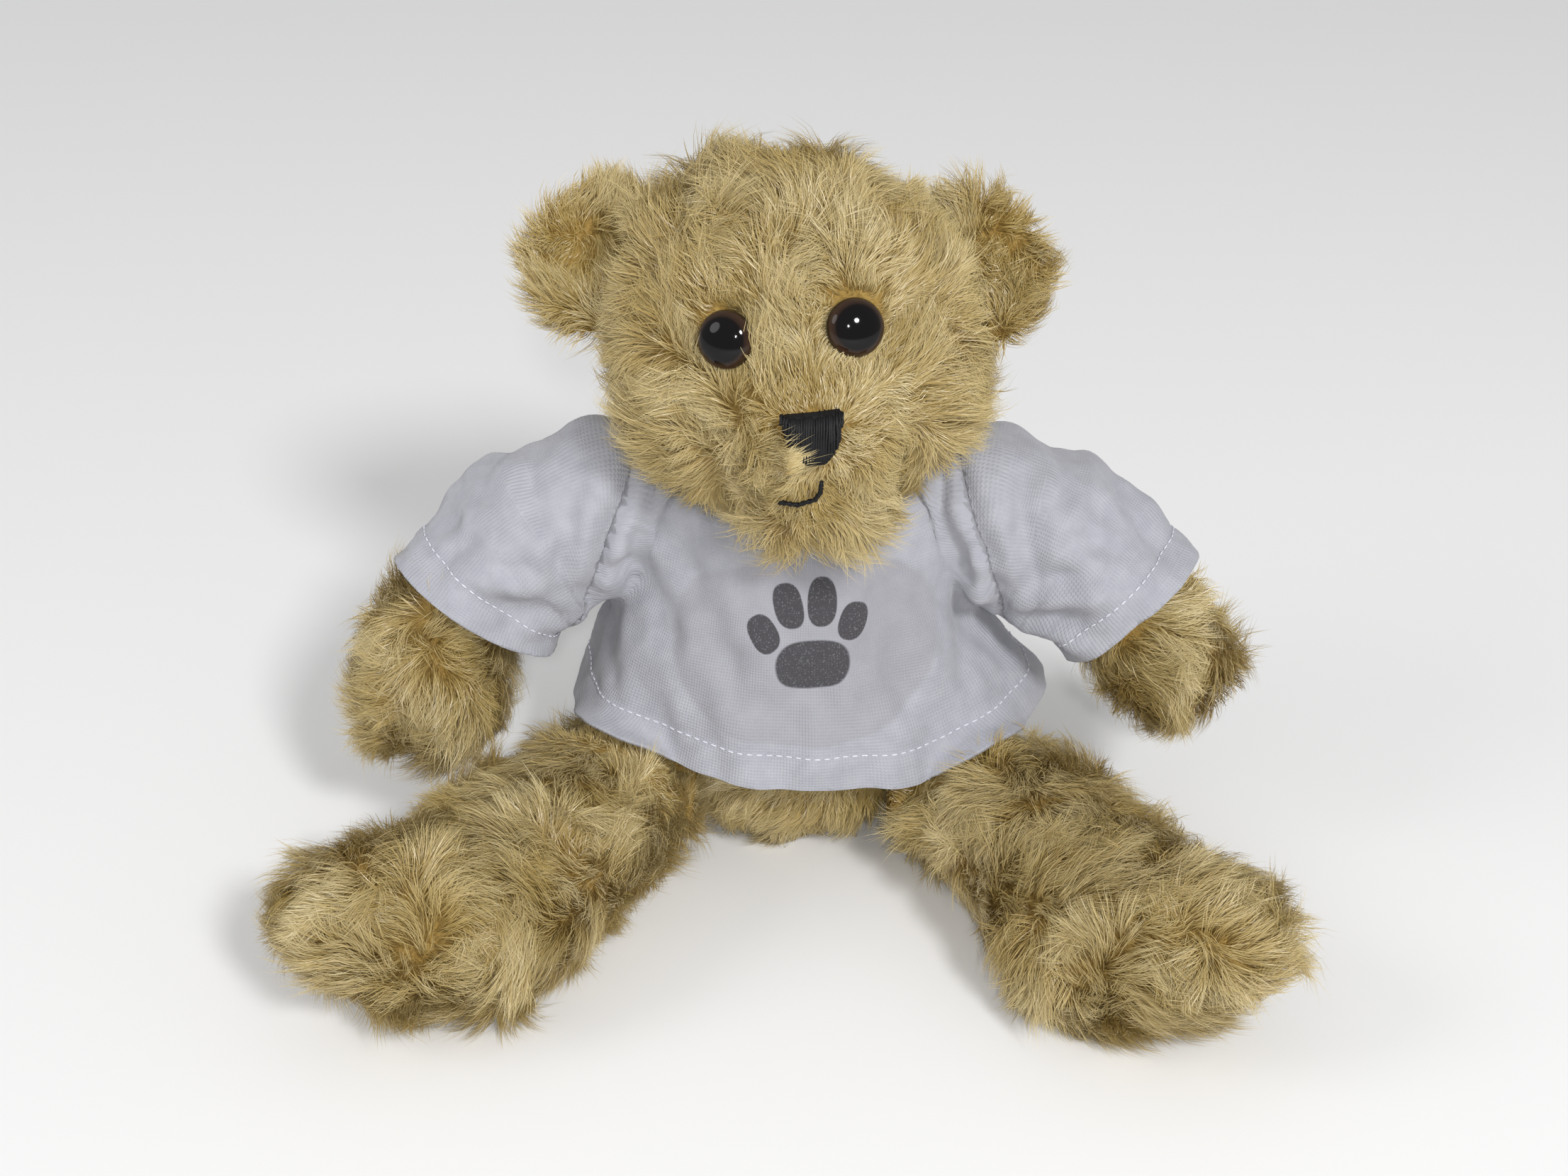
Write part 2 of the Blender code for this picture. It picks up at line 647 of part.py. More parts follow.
def build_sleeve(side, label, pivot):
    """A short sleeve, round the shoulder axis at the armhole and flaring to its hem past the elbow."""
    spine = arm_spine(side)
    stops = [mirrored(SHOULDER, side) + Vector((side * 3 * MM, 0, 0)), *spine[:5]]
    sizes = (14.9, 15.4, 17, 17.6, 18.2, 18.8)
    rings = []
    for i, (stop, size) in enumerate(zip(stops, sizes)):
        along = Vector((side, 0, 0)) if i < 2 else (spine[i] - spine[i - 2]).normalized()
        bend = Vector((side, 0, 0)).rotation_difference(along).to_matrix().to_4x4()
        frame = Matrix.Translation(stop) @ bend
        rings.append([frame @ Vector((0, p.x, p.y)) for p in circle(size * MM, 0, 24)])
    shell("shirt_sleeve_" + label, rings, CLOTH, pivot)


def main():
    for old in list(bpy.data.objects):
        bpy.data.objects.remove(old)
    frames = {"neck": hinge_frame((0, 0, NECK_HEIGHT), (0, 0, 1))}
    for side, label in ((1, "left"), (-1, "right")):
        frames["shoulder_" + label] = hinge_frame(mirrored(SHOULDER, side), (side, 0, 0))
        frames["hip_" + label] = hinge_frame(mirrored(HIP, side), hip_axis(side))
    pivots = {name: empty(name + "_pivot", frame) for name, frame in frames.items()}
    torso = empty("torso_pivot", Matrix.Identity(4))
    bpy.context.view_layer.update()
    cutters = {name: joint_cutters(name, frame) for name, frame in frames.items()}
    for name, frame in frames.items():
        disc_joint(name, frame, torso, pivots[name])
    build_torso(torso, cutters)
    build_head(pivots["neck"], cutters)
    build_shirt(torso, frames)
    for side, label in ((1, "left"), (-1, "right")):
        build_arm(side, label, pivots["shoulder_" + label], cutters)
        build_sleeve(side, label, pivots["shoulder_" + label])
        build_leg(side, label, pivots["hip_" + label], cutters)


main()
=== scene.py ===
"""The looks of a jointed plush teddy bear in a jersey shirt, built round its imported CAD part.

Shapes are worked out as arrays of points in millimetres, in the part's own frame: +X is the bear's left,
-Y the way it faces and +Z up. mesh_piece() turns them into objects in metres.
"""

import json
import math

import bmesh
import bpy
import numpy as np
from mathutils import Matrix, Vector
from mathutils.bvhtree import BVHTree
from mathutils.kdtree import KDTree


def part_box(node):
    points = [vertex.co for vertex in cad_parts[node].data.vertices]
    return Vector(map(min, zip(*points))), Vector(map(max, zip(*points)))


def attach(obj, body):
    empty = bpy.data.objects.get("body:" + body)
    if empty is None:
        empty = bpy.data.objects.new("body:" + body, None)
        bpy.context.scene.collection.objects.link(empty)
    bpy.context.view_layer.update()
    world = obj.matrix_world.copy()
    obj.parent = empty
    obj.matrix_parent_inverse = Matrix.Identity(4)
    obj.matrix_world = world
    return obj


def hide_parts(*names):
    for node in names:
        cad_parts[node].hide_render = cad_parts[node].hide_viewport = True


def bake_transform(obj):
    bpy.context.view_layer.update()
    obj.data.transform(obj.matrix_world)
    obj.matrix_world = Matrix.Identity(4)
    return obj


MM = 0.001
FLOOR_CLEARANCE = 0.3  # the lowest that a fibre lies
BACKING_DEPTH = 3.0  # the backing lies this far under the middle of the pile
FACE_DEPTH = 1.4  # the same round the eyes, the nose and the mouth
EAR_DEPTH = 1.8  # and in the ears
PILE = 12.5  # length of a fibre
TUFTS_PER_MM2 = 0.95
FIBRES_PER_TUFT = 6
FIBRE_WIDTH = 0.185
FIBRES_PER_PIECE = 38000
FIBRE_STOPS = np.array([0.0, 0.34, 0.68, 1.0])  # shares of a fibre's length at which it bends

BAKE_UV = "OFBake"  # the map that the materials are baked on
KNIT_UV = "knit"
OUTSIDE = 120  # far enough from any middle to lie outside the bear

SIDES = {"left": 1, "right": -1}  # the bear's own sides, and which way along X each lies

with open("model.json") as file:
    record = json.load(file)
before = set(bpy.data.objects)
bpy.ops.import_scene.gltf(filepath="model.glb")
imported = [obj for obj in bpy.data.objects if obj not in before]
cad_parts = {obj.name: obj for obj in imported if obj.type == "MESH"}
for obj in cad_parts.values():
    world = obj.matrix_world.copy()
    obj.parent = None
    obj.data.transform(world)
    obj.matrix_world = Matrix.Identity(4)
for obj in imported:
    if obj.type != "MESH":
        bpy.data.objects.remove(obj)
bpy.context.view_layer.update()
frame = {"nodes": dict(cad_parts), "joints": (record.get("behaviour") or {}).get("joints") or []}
LIMB_SKINS = {}
JOINTS = {joint["child"]: joint for joint in frame["joints"]}


# Arrays of points and directions


def unit(vectors):
    return vectors / np.maximum(np.linalg.norm(vectors, axis=-1, keepdims=True), 1e-9)


def dot(a, b):
    return (a * b).sum(axis=-1, keepdims=True)


def along_surface(vectors, normals):
    """The part of each vector that lies in the surface."""
    return vectors - dot(vectors, normals) * normals


def ramp(values, low, high):
    """0 below low and 1 above high, with a smooth step between them."""
    t = np.clip((values - low) / (high - low), 0.0, 1.0)
    return t * t * (3 - 2 * t)


def circle(count, across, up):
    """Equally spaced directions round a circle that across and up span."""
    turns = np.arange(count) * 2 * np.pi / count
    return np.cos(turns)[:, None] * across + np.sin(turns)[:, None] * up


def lengths_along(line):
    """How far along a line each of its points lies."""
    return np.concatenate([[0], np.cumsum(np.linalg.norm(np.diff(line, axis=0), axis=1))])


class Noise:
    """A smooth random field in space, about 1 in size, made of plane waves in random directions."""

    def __init__(self, wavelength, seed, channels=1, waves=28):
        rng = np.random.default_rng(seed)
        headings = unit(rng.normal(size=(channels, waves, 3)))
        lengths = wavelength * rng.uniform(0.7, 1.6, size=(channels, waves, 1))
        self.waves = headings * 2 * np.pi / lengths
        self.phases = rng.uniform(0, 2 * np.pi, size=(channels, waves))

    def __call__(self, points):
        angles = np.einsum("ni,cwi->ncw", points, self.waves) + self.phases
        return np.sin(angles).sum(axis=2) * math.sqrt(2 / self.phases.shape[1])


# CAD solids and the surfaces wrapped round them


def mesh_arrays(mesh):
    """(points, triangles) of a mesh."""
    mesh.calc_loop_triangles()
    points = np.empty(len(mesh.vertices) * 3)
    mesh.vertices.foreach_get("co", points)
    triangles = np.empty(len(mesh.loop_triangles) * 3, np.int32)
    mesh.loop_triangles.foreach_get("vertices", triangles)
    return points.reshape(-1, 3) / MM, triangles.reshape(-1, 3)


def node_mesh(node):
    return mesh_arrays(frame["nodes"][node].data)


def node_box(node):
    """[lowest corner, highest corner] of a CAD node."""
    return [np.array(corner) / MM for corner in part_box(node)]


def node_middle(node):
    return np.array(sum(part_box(node), Vector())) / 2 / MM


def joint_point(body):
    return np.array(JOINTS[body]["pos_m"]) / MM


def tree_of(points, triangles):
    return BVHTree.FromPolygons(points.tolist(), triangles.tolist())


def node_tree(node):
    return tree_of(*node_mesh(node))


def vertex_normals(points, triangles):
    corners = points[triangles]
    areas = np.cross(corners[:, 1] - corners[:, 0], corners[:, 2] - corners[:, 0])
    normals = np.zeros_like(points)
    for corner in range(3):
        np.add.at(normals, triangles[:, corner], areas)
    return unit(normals)


def centre_line(points, start, steps, margin):
    """A line of points down the middle of a limb, from its joint at start towards its far end."""
    distances = np.linalg.norm(points - start, axis=1)
    reach = distances.max() - margin
    line = [start]
    for step in range(1, steps + 1):
        middle = reach * step / steps
        near = np.abs(distances - middle) < reach / steps
        line.append(points[near].mean(axis=0))
    line = np.array(line)
    for _ in range(2):
        line[1:-1] = (line[:-2] + 2 * line[1:-1] + line[2:]) / 4
    return line


def resampled(line, spacing):
    lengths = lengths_along(line)
    count = max(2, round(lengths[-1] / spacing) + 1)
    stops = np.linspace(0, lengths[-1], count)
    return np.stack([np.interp(stops, lengths, line[:, axis]) for axis in range(3)], axis=1)


def frames_along(line):
    """(tangent, side, up) at each point of a line, turning as little as they can."""
    tangents = unit(np.gradient(line, axis=0))
    side = np.cross(tangents[0], (0.0, 1.0, 0.1))
    sides = []
    for tangent in tangents:
        side = unit(side - (side @ tangent) * tangent)
        sides.append(side)
    sides = np.array(sides)
    return tangents, sides, np.cross(tangents, sides)


def grid_triangles(rings, segments):
    """Triangles of a tube of rings, and of the fans on the two poles that follow its last ring."""
    ring, step = np.meshgrid(np.arange(rings - 1), np.arange(segments), indexing="ij")
    near, far = ring * segments + step, ring * segments + (step + 1) % segments
    up = segments
    sides = np.concatenate(
        [
            np.stack([near, far, far + up], axis=-1).reshape(-1, 3),
            np.stack([near, far + up, near + up], axis=-1).reshape(-1, 3),
        ]
    )
    step = np.arange(segments)
    after = (step + 1) % segments
    first, last = rings * segments, rings * segments + 1
    top = (rings - 1) * segments
    start = np.stack([np.full(segments, first), after, step], axis=1)
    end = np.stack([np.full(segments, last), top + step, top + after], axis=1)
    return np.concatenate([sides, start, end])


def wrapped(tree, line, spacing, segments, cap_rings=10):
    """(points, triangles) of a smooth closed surface wrapped round the outside of a CAD solid."""
    line = resampled(line, spacing)
    tangents, sides, ups = frames_along(line)
    rounds = [circle(segments, side, up) for side, up in zip(sides, ups)]
    rings = []
    bends = np.linspace(0, np.pi / 2, cap_rings + 1)  # of the rings over each rounded end
    for bend in bends[1:]:
        rings.append((line[0], -np.cos(bend) * tangents[0] + np.sin(bend) * rounds[0]))
    rings += [(line[i], rounds[i]) for i in range(1, len(line) - 1)]
    for bend in bends[:0:-1]:
        rings.append((line[-1], np.cos(bend) * tangents[-1] + np.sin(bend) * rounds[-1]))
    rings.append((line[0], -tangents[:1]))
    rings.append((line[-1], tangents[-1:]))
    points = []
    for centre, headings in rings:
        for heading in headings:
            outside = centre + OUTSIDE * heading
            hit = tree.ray_cast(Vector(outside), Vector(-heading), OUTSIDE)[0]
            points.append(np.array(hit) if hit else centre + 2 * heading)
    points = np.array(points)
    count = len(rings) - 2
    body = points[:-2].reshape(count, segments, 3)
    for _ in range(2):
        body[1:-1] = (body[:-2] + 2 * body[1:-1] + body[2:]) / 4
        body[:] = (np.roll(body, 1, axis=1) + 2 * body + np.roll(body, -1, axis=1)) / 4
    return points, grid_triangles(count, segments)


def placed(name, data):
    """A new object in the scene."""
    thing = bpy.data.objects.new(name, data)
    bpy.context.scene.collection.objects.link(thing)
    return thing


def mesh_piece(name, points, faces, body, material, slot):
    """A new smooth object of these points and faces, riding on a body if there is one."""
    mesh = bpy.data.meshes.new(name)
    mesh.from_pydata((np.asarray(points) * MM).tolist(), [], np.asarray(faces).tolist())
    mesh.polygons.foreach_set("use_smooth", [True] * len(mesh.polygons))
    mesh.materials.append(material)
    mesh.update()
    piece = placed(name, mesh)
    if body:
        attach(piece, body)
    return piece


# Materials


def shader(name, roughness, specular=0.5, sheen=0.0, colour=(0.5, 0.5, 0.5)):
    """(material, its node tree, its Principled shader)."""
    material = bpy.data.materials.new(name)
    material.use_nodes = True
    tree = material.node_tree
    principled = tree.nodes["Principled BSDF"]
    principled.inputs["Base Color"].default_value = (*colour, 1)
    principled.inputs["Roughness"].default_value = roughness
    principled.inputs["Specular IOR Level"].default_value = specular
    principled.inputs["Sheen Weight"].default_value = sheen
    return material, tree, principled


def colour_ramp(tree, factor, stops):
    node = tree.nodes.new("ShaderNodeValToRGB")
    elements = node.color_ramp.elements
    while len(elements) < len(stops):
        elements.new(0.5)
    for element, (position, colour) in zip(elements, stops):
        element.position = position
        element.color = (*colour, 1)
    tree.links.new(factor, node.inputs["Fac"])
    return node.outputs["Color"]


def object_noise(tree, scale, detail=2.0):
    """A noise value fixed to the object, at scale waves per metre."""
    where = tree.nodes.new("ShaderNodeTexCoord")
    noise = tree.nodes.new("ShaderNodeTexNoise")
    noise.inputs["Scale"].default_value = scale
    noise.inputs["Detail"].default_value = detail
    tree.links.new(where.outputs["Object"], noise.inputs["Vector"])
    return noise.outputs["Fac"]


def map_parts(tree, name):
    """The (u, v) sockets of one of the object's maps."""
    uv = tree.nodes.new("ShaderNodeUVMap")
    uv.uv_map = name
    parts = tree.nodes.new("ShaderNodeSeparateXYZ")
    tree.links.new(uv.outputs["UV"], parts.inputs["Vector"])
    return parts.outputs["X"], parts.outputs["Y"]


def bump(tree, principled, height, strength, distance):
    node = tree.nodes.new("ShaderNodeBump")
    node.inputs["Strength"].default_value = strength
    node.inputs["Distance"].default_value = distance
    tree.links.new(height, node.inputs["Height"])
    tree.links.new(node.outputs["Normal"], principled.inputs["Normal"])


def mix_colours(tree, factor, first, second):
    node = tree.nodes.new("ShaderNodeMix")
    node.data_type = "RGBA"
    tree.links.new(factor, node.inputs["Factor"])
    tree.links.new(first, node.inputs[6])
    tree.links.new(second, node.inputs[7])
    return node.outputs[2]


def math_node(tree, operation, first, second=None):
    node = tree.nodes.new("ShaderNodeMath")
    node.operation = operation
    for socket, value in zip(node.inputs, (first, second)):
        if isinstance(value, (int, float)):
            socket.default_value = value
        elif value is not None:
            tree.links.new(value, socket)
    return node.outputs[0]


def fibre_material():
    """Glossy pile fibres. Their map's u is each fibre's tint with painted light in it, and v runs from root
    to tip.
    """
    material, tree, principled = shader("plush_fibre", roughness=0.34, specular=0.6)
    tint, height = map_parts(tree, BAKE_UV)
    # Both ramps darken from tip to root: the pile's own colour, deepened with painted shade low in the pile.
    golden = [(0.0, (0.29, 0.175, 0.040)), (0.45, (0.41, 0.285, 0.082)), (1.0, (0.51, 0.390, 0.148))]
    cream = [(0.0, (0.41, 0.285, 0.10)), (0.45, (0.55, 0.430, 0.19)), (1.0, (0.74, 0.630, 0.36))]
    colour = mix_colours(tree, tint, colour_ramp(tree, height, golden), colour_ramp(tree, height, cream))
    tree.links.new(colour, principled.inputs["Base Color"])
    return material


def backing_material():
    """The knitted ground that the pile stands on, seen only where the pile parts."""
    material, tree, principled = shader("plush_backing", roughness=0.95, specular=0.2)
    shade = object_noise(tree, 900, detail=4)
    colour = colour_ramp(tree, shade, [(0.3, (0.28, 0.17, 0.04)), (0.7, (0.42, 0.28, 0.085))])
    tree.links.new(colour, principled.inputs["Base Color"])
    bump(tree, principled, object_noise(tree, 1800, detail=1), strength=0.6, distance=0.0006)
    return material


# Plush: a padded backing with a pile of separate fibres


def scattered(points, triangles, normals, weights, rng):
    """(points, normals) of the tufts on a surface, as dense as its weights say."""
    corners = points[triangles]
    areas = np.linalg.norm(np.cross(corners[:, 1] - corners[:, 0], corners[:, 2] - corners[:, 0]), axis=1) / 2
    areas = areas * weights
    count = int(areas.sum() * TUFTS_PER_MM2)
    chosen = rng.choice(len(triangles), size=count, p=areas / areas.sum())
    a, b = rng.random(count), rng.random(count)
    a, b = np.where(a + b > 1, 1 - a, a), np.where(a + b > 1, 1 - b, b)
    shares = np.stack([1 - a - b, a, b], axis=1)[:, :, None]
    places = (corners[chosen] * shares).sum(axis=1)
    return places, unit((normals[triangles[chosen]] * shares).sum(axis=1))


def fibre_curves(roots, first, last, lengths):
    """Points along fibres that leave in the direction first and end in the direction last."""
    t = FIBRE_STOPS[None, :, None]
    bend = first[:, None] * (t - t * t / 2) + last[:, None] * (t * t / 2)
    return roots[:, None] + lengths[:, None, None] * bend


def fibre_widths(count, rng):
    return FIBRE_WIDTH * rng.uniform(0.65, 1.25, size=count)


def fibre_mesh(name, curves, facing, tints, widths, material):
    """A mesh of tapered ribbons, one along each curve, whose shading follows the lie of the pile."""
    count, stops = curves.shape[:2]
    tangents = unit(np.gradient(curves, axis=1))
    facing = facing[:, None]
    across = unit(np.cross(tangents, facing))
    shade = unit(np.cross(across, tangents))
    taper = 1 - 0.75 * np.linspace(0, 1, stops) ** 1.5
    half = across * (widths[:, None] * taper)[:, :, None] / 2
    vertices = np.concatenate([(curves - half)[:, :-1], (curves + half)[:, :-1], curves[:, -1:]], axis=1)
    shades = np.concatenate([shade[:, :-1], shade[:, :-1], shade[:, -1:]], axis=1)
    left, right, tip = np.arange(stops - 1), np.arange(stops - 1) + stops - 1, 2 * (stops - 1)
    quads = np.stack([left[:-1], right[:-1], right[1:], left[1:]], axis=1).reshape(-1)
    corners = np.concatenate([quads, [left[-1], right[-1], tip]])
    per_fibre = vertices.shape[1]
    loops = (corners[None] + per_fibre * np.arange(count)[:, None]).reshape(-1)
    sizes = np.tile([4] * (stops - 2) + [3], count)
    mesh = bpy.data.meshes.new(name)
    mesh.vertices.add(count * per_fibre)
    mesh.vertices.foreach_set("co", (vertices * MM).astype(np.float32).reshape(-1))
    mesh.loops.add(len(loops))
    mesh.loops.foreach_set("vertex_index", loops.astype(np.int32))
    mesh.polygons.add(len(sizes))
    mesh.polygons.foreach_set("loop_start", np.concatenate([[0], np.cumsum(sizes)[:-1]]).astype(np.int32))
    heights = np.concatenate([np.linspace(0, 1, stops)[:-1]] * 2 + [[1.0]])
    lean = np.concatenate([np.full(stops - 1, -0.008), np.full(stops - 1, 0.008), [0.0]])
    u = np.clip(tints, 0.01, 0.99)[:, None] + lean[corners][None]
    v = np.broadcast_to(heights[corners][None], u.shape)
    layer = mesh.uv_layers.new(name=BAKE_UV)
    layer.data.foreach_set("uv", np.stack([u, v], axis=-1).astype(np.float32).reshape(-1))
    shading = mesh.attributes.new("custom_normal", "FLOAT_VECTOR", "POINT")
    shading.data.foreach_set("vector", shades.astype(np.float32).reshape(-1))
    mesh.materials.append(material)
    mesh.update()
    return mesh


LIFTED = Noise(12, seed=3)  # how far the pile stands up
# PATCHES paints sheen and shade: random patches of tint, lighter and darker as the pile's lie would catch the
# light.
PATCHES = Noise(15, seed=5)  # its tint
SWIRLS = Noise(24, seed=11, channels=3)  # the way it lies, in three sizes of swirl
SMALL_SWIRLS = Noise(11, seed=12, channels=3)
LOCKS = Noise(4.5, seed=13, channels=3)
CURLS = Noise(8, seed=14)  # the sideways curl of its locks


class Plush:
    """One stuffed part of the bear: its backing and its pile."""

    def __init__(self, name, body, nodes, points, triangles):
        self.name, self.body, self.nodes = name, body, nodes
        self.middle = points
        self.triangles = triangles
        self.normals = vertex_normals(points, triangles)

    def backing(self, material, depth):
        points = self.middle - self.normals * depth[:, None]
        piece = mesh_piece(f"{self.name}_backing", points, self.triangles, self.body, material, "plush")
        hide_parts(*self.nodes)
        return points

    def pile(self, roots_at, groom, length, cover, material, seed, turned_aside=None, shaded=None):
        """Grows the pile on the backing's points, roots_at.

        groom, length, cover and shaded take points and normals. cover gives the share of full density, and
        shaded how much painted shade darkens the pile. turned_aside takes curves and leads them round what
        they'd cross.
        """
        rng = np.random.default_rng(seed)
        stops = FIBRE_STOPS[None, :, None]
        centres = roots_at[self.triangles].mean(axis=1)
        facing = unit(self.normals[self.triangles].sum(axis=1))
        weights = cover(centres, facing)
        tufts, normals = scattered(roots_at, self.triangles, self.normals, weights, rng)
        count = len(tufts)
        lie = groom(tufts, normals)
        strength = np.linalg.norm(lie, axis=1, keepdims=True)
        lie = along_surface(lie, normals)
        lie = unit(lie) * np.clip(strength, 0.35, 1.1)
        full = length(tufts, normals)
        lift = LIFTED(tufts)[:, :1] * 0.32
        full = full * (1 + 0.3 * lift[:, 0])
        sway = along_surface(rng.normal(size=(count, 3)), normals) * 0.17
        curl = np.cross(normals, lie) * CURLS(tufts) * 0.8
        first = unit(normals * (1.1 + lift) + lie * 0.62 - curl * 0.35 + sway)
        last = unit(normals * (lift * 0.4 - 0.12) + lie * 1.0 + curl + sway)
        lengths = full * (1 + 0.10 * rng.normal(size=count)).clip(0.75, 1.3)
        guides = fibre_curves(tufts, first, last, lengths)
        owner = np.repeat(np.arange(count), FIBRES_PER_TUFT)
        total = len(owner)
        scatter = along_surface(rng.normal(size=(total, 3)), normals[owner]) * 0.72
        curves = guides[owner] + scatter[:, None] * (1 - 0.30 * stops)
        shorter = 1.04 - 0.42 * rng.random((total, 1, 1)) ** 1.6
        curves = curves[:, :1] + (curves - curves[:, :1]) * shorter
        frizz = rng.normal(size=(total, 3)) * 0.5
        frizz[rng.random(total) < 0.03] *= 1.8
        curves += frizz[:, None] * (stops**1.7) * (full[owner] / PILE)[:, None, None]
        if turned_aside:
            curves = turned_aside(curves)
        curves[:, :, 2] = np.maximum(curves[:, :, 2], FLOOR_CLEARANCE)
        tilt = unit(normals[owner] + 0.34 * rng.normal(size=(total, 3)))
        # The tint holds painted light: sheen and shade in PATCHES' patches, and lifted locks painted lighter
        # than the partings, where shade falls.
        tint_with_painted_light = 0.48 + 0.20 * PATCHES(tufts)[:, 0] + 0.30 * lift[:, 0]
        shade = tint_with_painted_light[owner] + 0.14 * rng.normal(size=total)
        if shaded:
            shade = shade - shaded(tufts, normals)[owner]
        self.grown(f"{self.name}_pile", curves, tilt, shade, fibre_widths(total, rng), material)

    def grown(self, name, curves, tilt, shade, widths, material):
        """Makes the pieces of a pile from its curves."""
        pieces = math.ceil(len(curves) / FIBRES_PER_PIECE)
        for number, part in enumerate(np.array_split(np.arange(len(curves)), pieces), start=1):
            label = f"{name}_{number}"
            mesh = fibre_mesh(label, curves[part], tilt[part], shade[part], widths[part], material)
            piece = placed(label, mesh)
            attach(piece, self.body)
            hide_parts(*self.nodes)


def swirled(base, amount):
    """A groom of long swirls laid over a base direction."""

    def groom(points, normals):
        swirl = SWIRLS(points) * amount + SMALL_SWIRLS(points) * amount * 0.45 + LOCKS(points) * 0.16
        return base(points, normals) + along_surface(swirl, normals)

    return groom


# The parts of the bear


EYES = {side: node_middle(f"eye_{side}") for side in SIDES}
NOSE = node_middle("nose")
MOUTH_POINTS = node_mesh("mouth")[0]
HEAD_MIDDLE = node_mesh("head_skin")[0].mean(axis=0)


def near_face(points):
    """How far each point is from the edge of an eye, the nose or the mouth."""
    gaps = [np.linalg.norm(points - eye, axis=1) - 6.3 for eye in EYES.values()]
    gaps.append(np.linalg.norm((points - NOSE) / (1.15, 1.0, 0.95), axis=1) - 6.0)
    mouth = MOUTH_POINTS[::4]
    gaps.append(np.linalg.norm(points[:, None] - mouth[None], axis=2).min(axis=1) - 0.4)
    return np.min(gaps, axis=0)


def face_groom(points, normals):
    """Away from the nose over the face, up over the brow and down under the chin."""
    away = unit(points - NOSE - np.array((0, 6, 0)))
    behind = ramp(points[:, 1], -12, 14)[:, None]
    return away * (1 - 0.6 * behind) + behind * np.array((0, 0.5, -0.5))


def below_eyes(points):
    """1 just below each eye, on the side of the nose, where the pile is long enough to lie over its edge."""
    found = []
    for eye in EYES.values():
        away = points - eye
        apart = np.linalg.norm(away, axis=1)
        towards = (away @ unit(NOSE - eye)) / np.maximum(apart, 0.1)
        found.append(ramp(towards, 0.25, 0.8) * (1 - ramp(apart, 9, 14)))
    return np.max(found, axis=0)


def head_length(points, normals):
    close = ramp(near_face(points), 0.0, 8.0)
    muzzle = ramp(points[:, 1], -46, -28)
    chin = ramp(-points[:, 2], -108, -98) * ramp(-points[:, 1], 20, 32)
    crown = ramp(points[:, 2], 140, 158) * ramp(20 - points[:, 0], 0, 40)
    short = PILE * (0.40 + 0.60 * close) * (0.80 + 0.20 * muzzle) * (1 + 0.50 * chin + 0.25 * crown)
    return np.maximum(short, PILE * 0.92 * below_eyes(points))


def head_cover(points, facing):
    open_skin = (near_face(points) > 0.0).astype(float)
    hidden = (points[:, 2] < 92) & (points[:, 1] > -22)
    return open_skin * np.where(hidden, 0.25, 1.0) * (1 + 0.35 * (1 - ramp(near_face(points), 2, 8)))


def clear_of_eyes(curves):
    """Turns fibres aside where they would cross the middle of an eye."""
    for eye in EYES.values():
        away = curves - eye
        apart = np.linalg.norm(away, axis=2, keepdims=True)
        root = curves[:, 0] - eye
        below = ramp((root @ unit(NOSE - eye)) / np.maximum(np.linalg.norm(root, axis=1), 0.1), 0.2, 0.8)
        clear = 5.2 - 1.4 * below
        curves = eye + away * np.maximum(1.0, clear[:, None, None] / np.maximum(apart, 1.0))
    return curves


def nose_lock(head, fibre):
    """A lock of the muzzle's pile that sweeps up across the lower corner of the nose."""
    rng = np.random.default_rng(77)
    tree = node_tree("head_skin")
    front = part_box("nose")[0].y / MM - 0.4  # just before the nose
    roots, normals = [], []
    for spot in NOSE + (-8.2, 0, -4.8) + rng.normal(size=(440, 3)) * (1.9, 0, 1.5):
        place, normal, _, _ = tree.ray_cast(Vector((spot[0], -OUTSIDE, spot[2])), Vector((0, 1, 0)))
        roots.append(np.array(place) - np.array(normal))
        normals.append(np.array(normal))
    roots, normals = np.array(roots), np.array(normals)
    count = len(roots)
    heading = np.array((0.86, -0.12, 0.42))
    first = unit(normals * 0.8 + heading * 0.7 + rng.normal(size=(count, 3)) * 0.14)
    last = unit(heading + rng.normal(size=(count, 3)) * 0.2)
    curves = fibre_curves(roots, first, last, rng.uniform(6.0, 9.8, count))
    over = ramp(curves[:, :, 0], NOSE[0] - 7.5, NOSE[0] - 4.5)
    curves[:, :, 1] += over * np.minimum(0.0, front - curves[:, :, 1])
    tilt = unit(normals + 0.34 * rng.normal(size=(count, 3)))
    shade = 0.72 + 0.12 * rng.normal(size=count)
    head.grown("head_nose_lock", curves, tilt, shade, fibre_widths(count, rng), fibre)


def build_head(fibre, ground):
    line = np.stack([HEAD_MIDDLE - (0, 0, 3), HEAD_MIDDLE + (0, 0, 3)])
    points, triangles = wrapped(node_tree("head_skin"), line, spacing=3, segments=96, cap_rings=22)
    head = Plush("head", "head", ["head_skin", "head_stuffing"], points, triangles)
    depth = FACE_DEPTH + (BACKING_DEPTH - FACE_DEPTH) * ramp(near_face(points), 0, 12)
    roots = head.backing(ground, depth)
    groom = swirled(face_groom, 0.75)
    head.pile(roots, groom, head_length, head_cover, fibre, seed=21, turned_aside=clear_of_eyes)
    nose_lock(head, fibre)
    for side in SIDES:
        build_ear(side, fibre, ground)


def modified(thing):
    """The mesh that an object's modifiers make of it. The object itself goes."""
    result = bpy.data.meshes.new_from_object(thing.evaluated_get(bpy.context.evaluated_depsgraph_get()))
    bpy.data.objects.remove(thing)
    return result


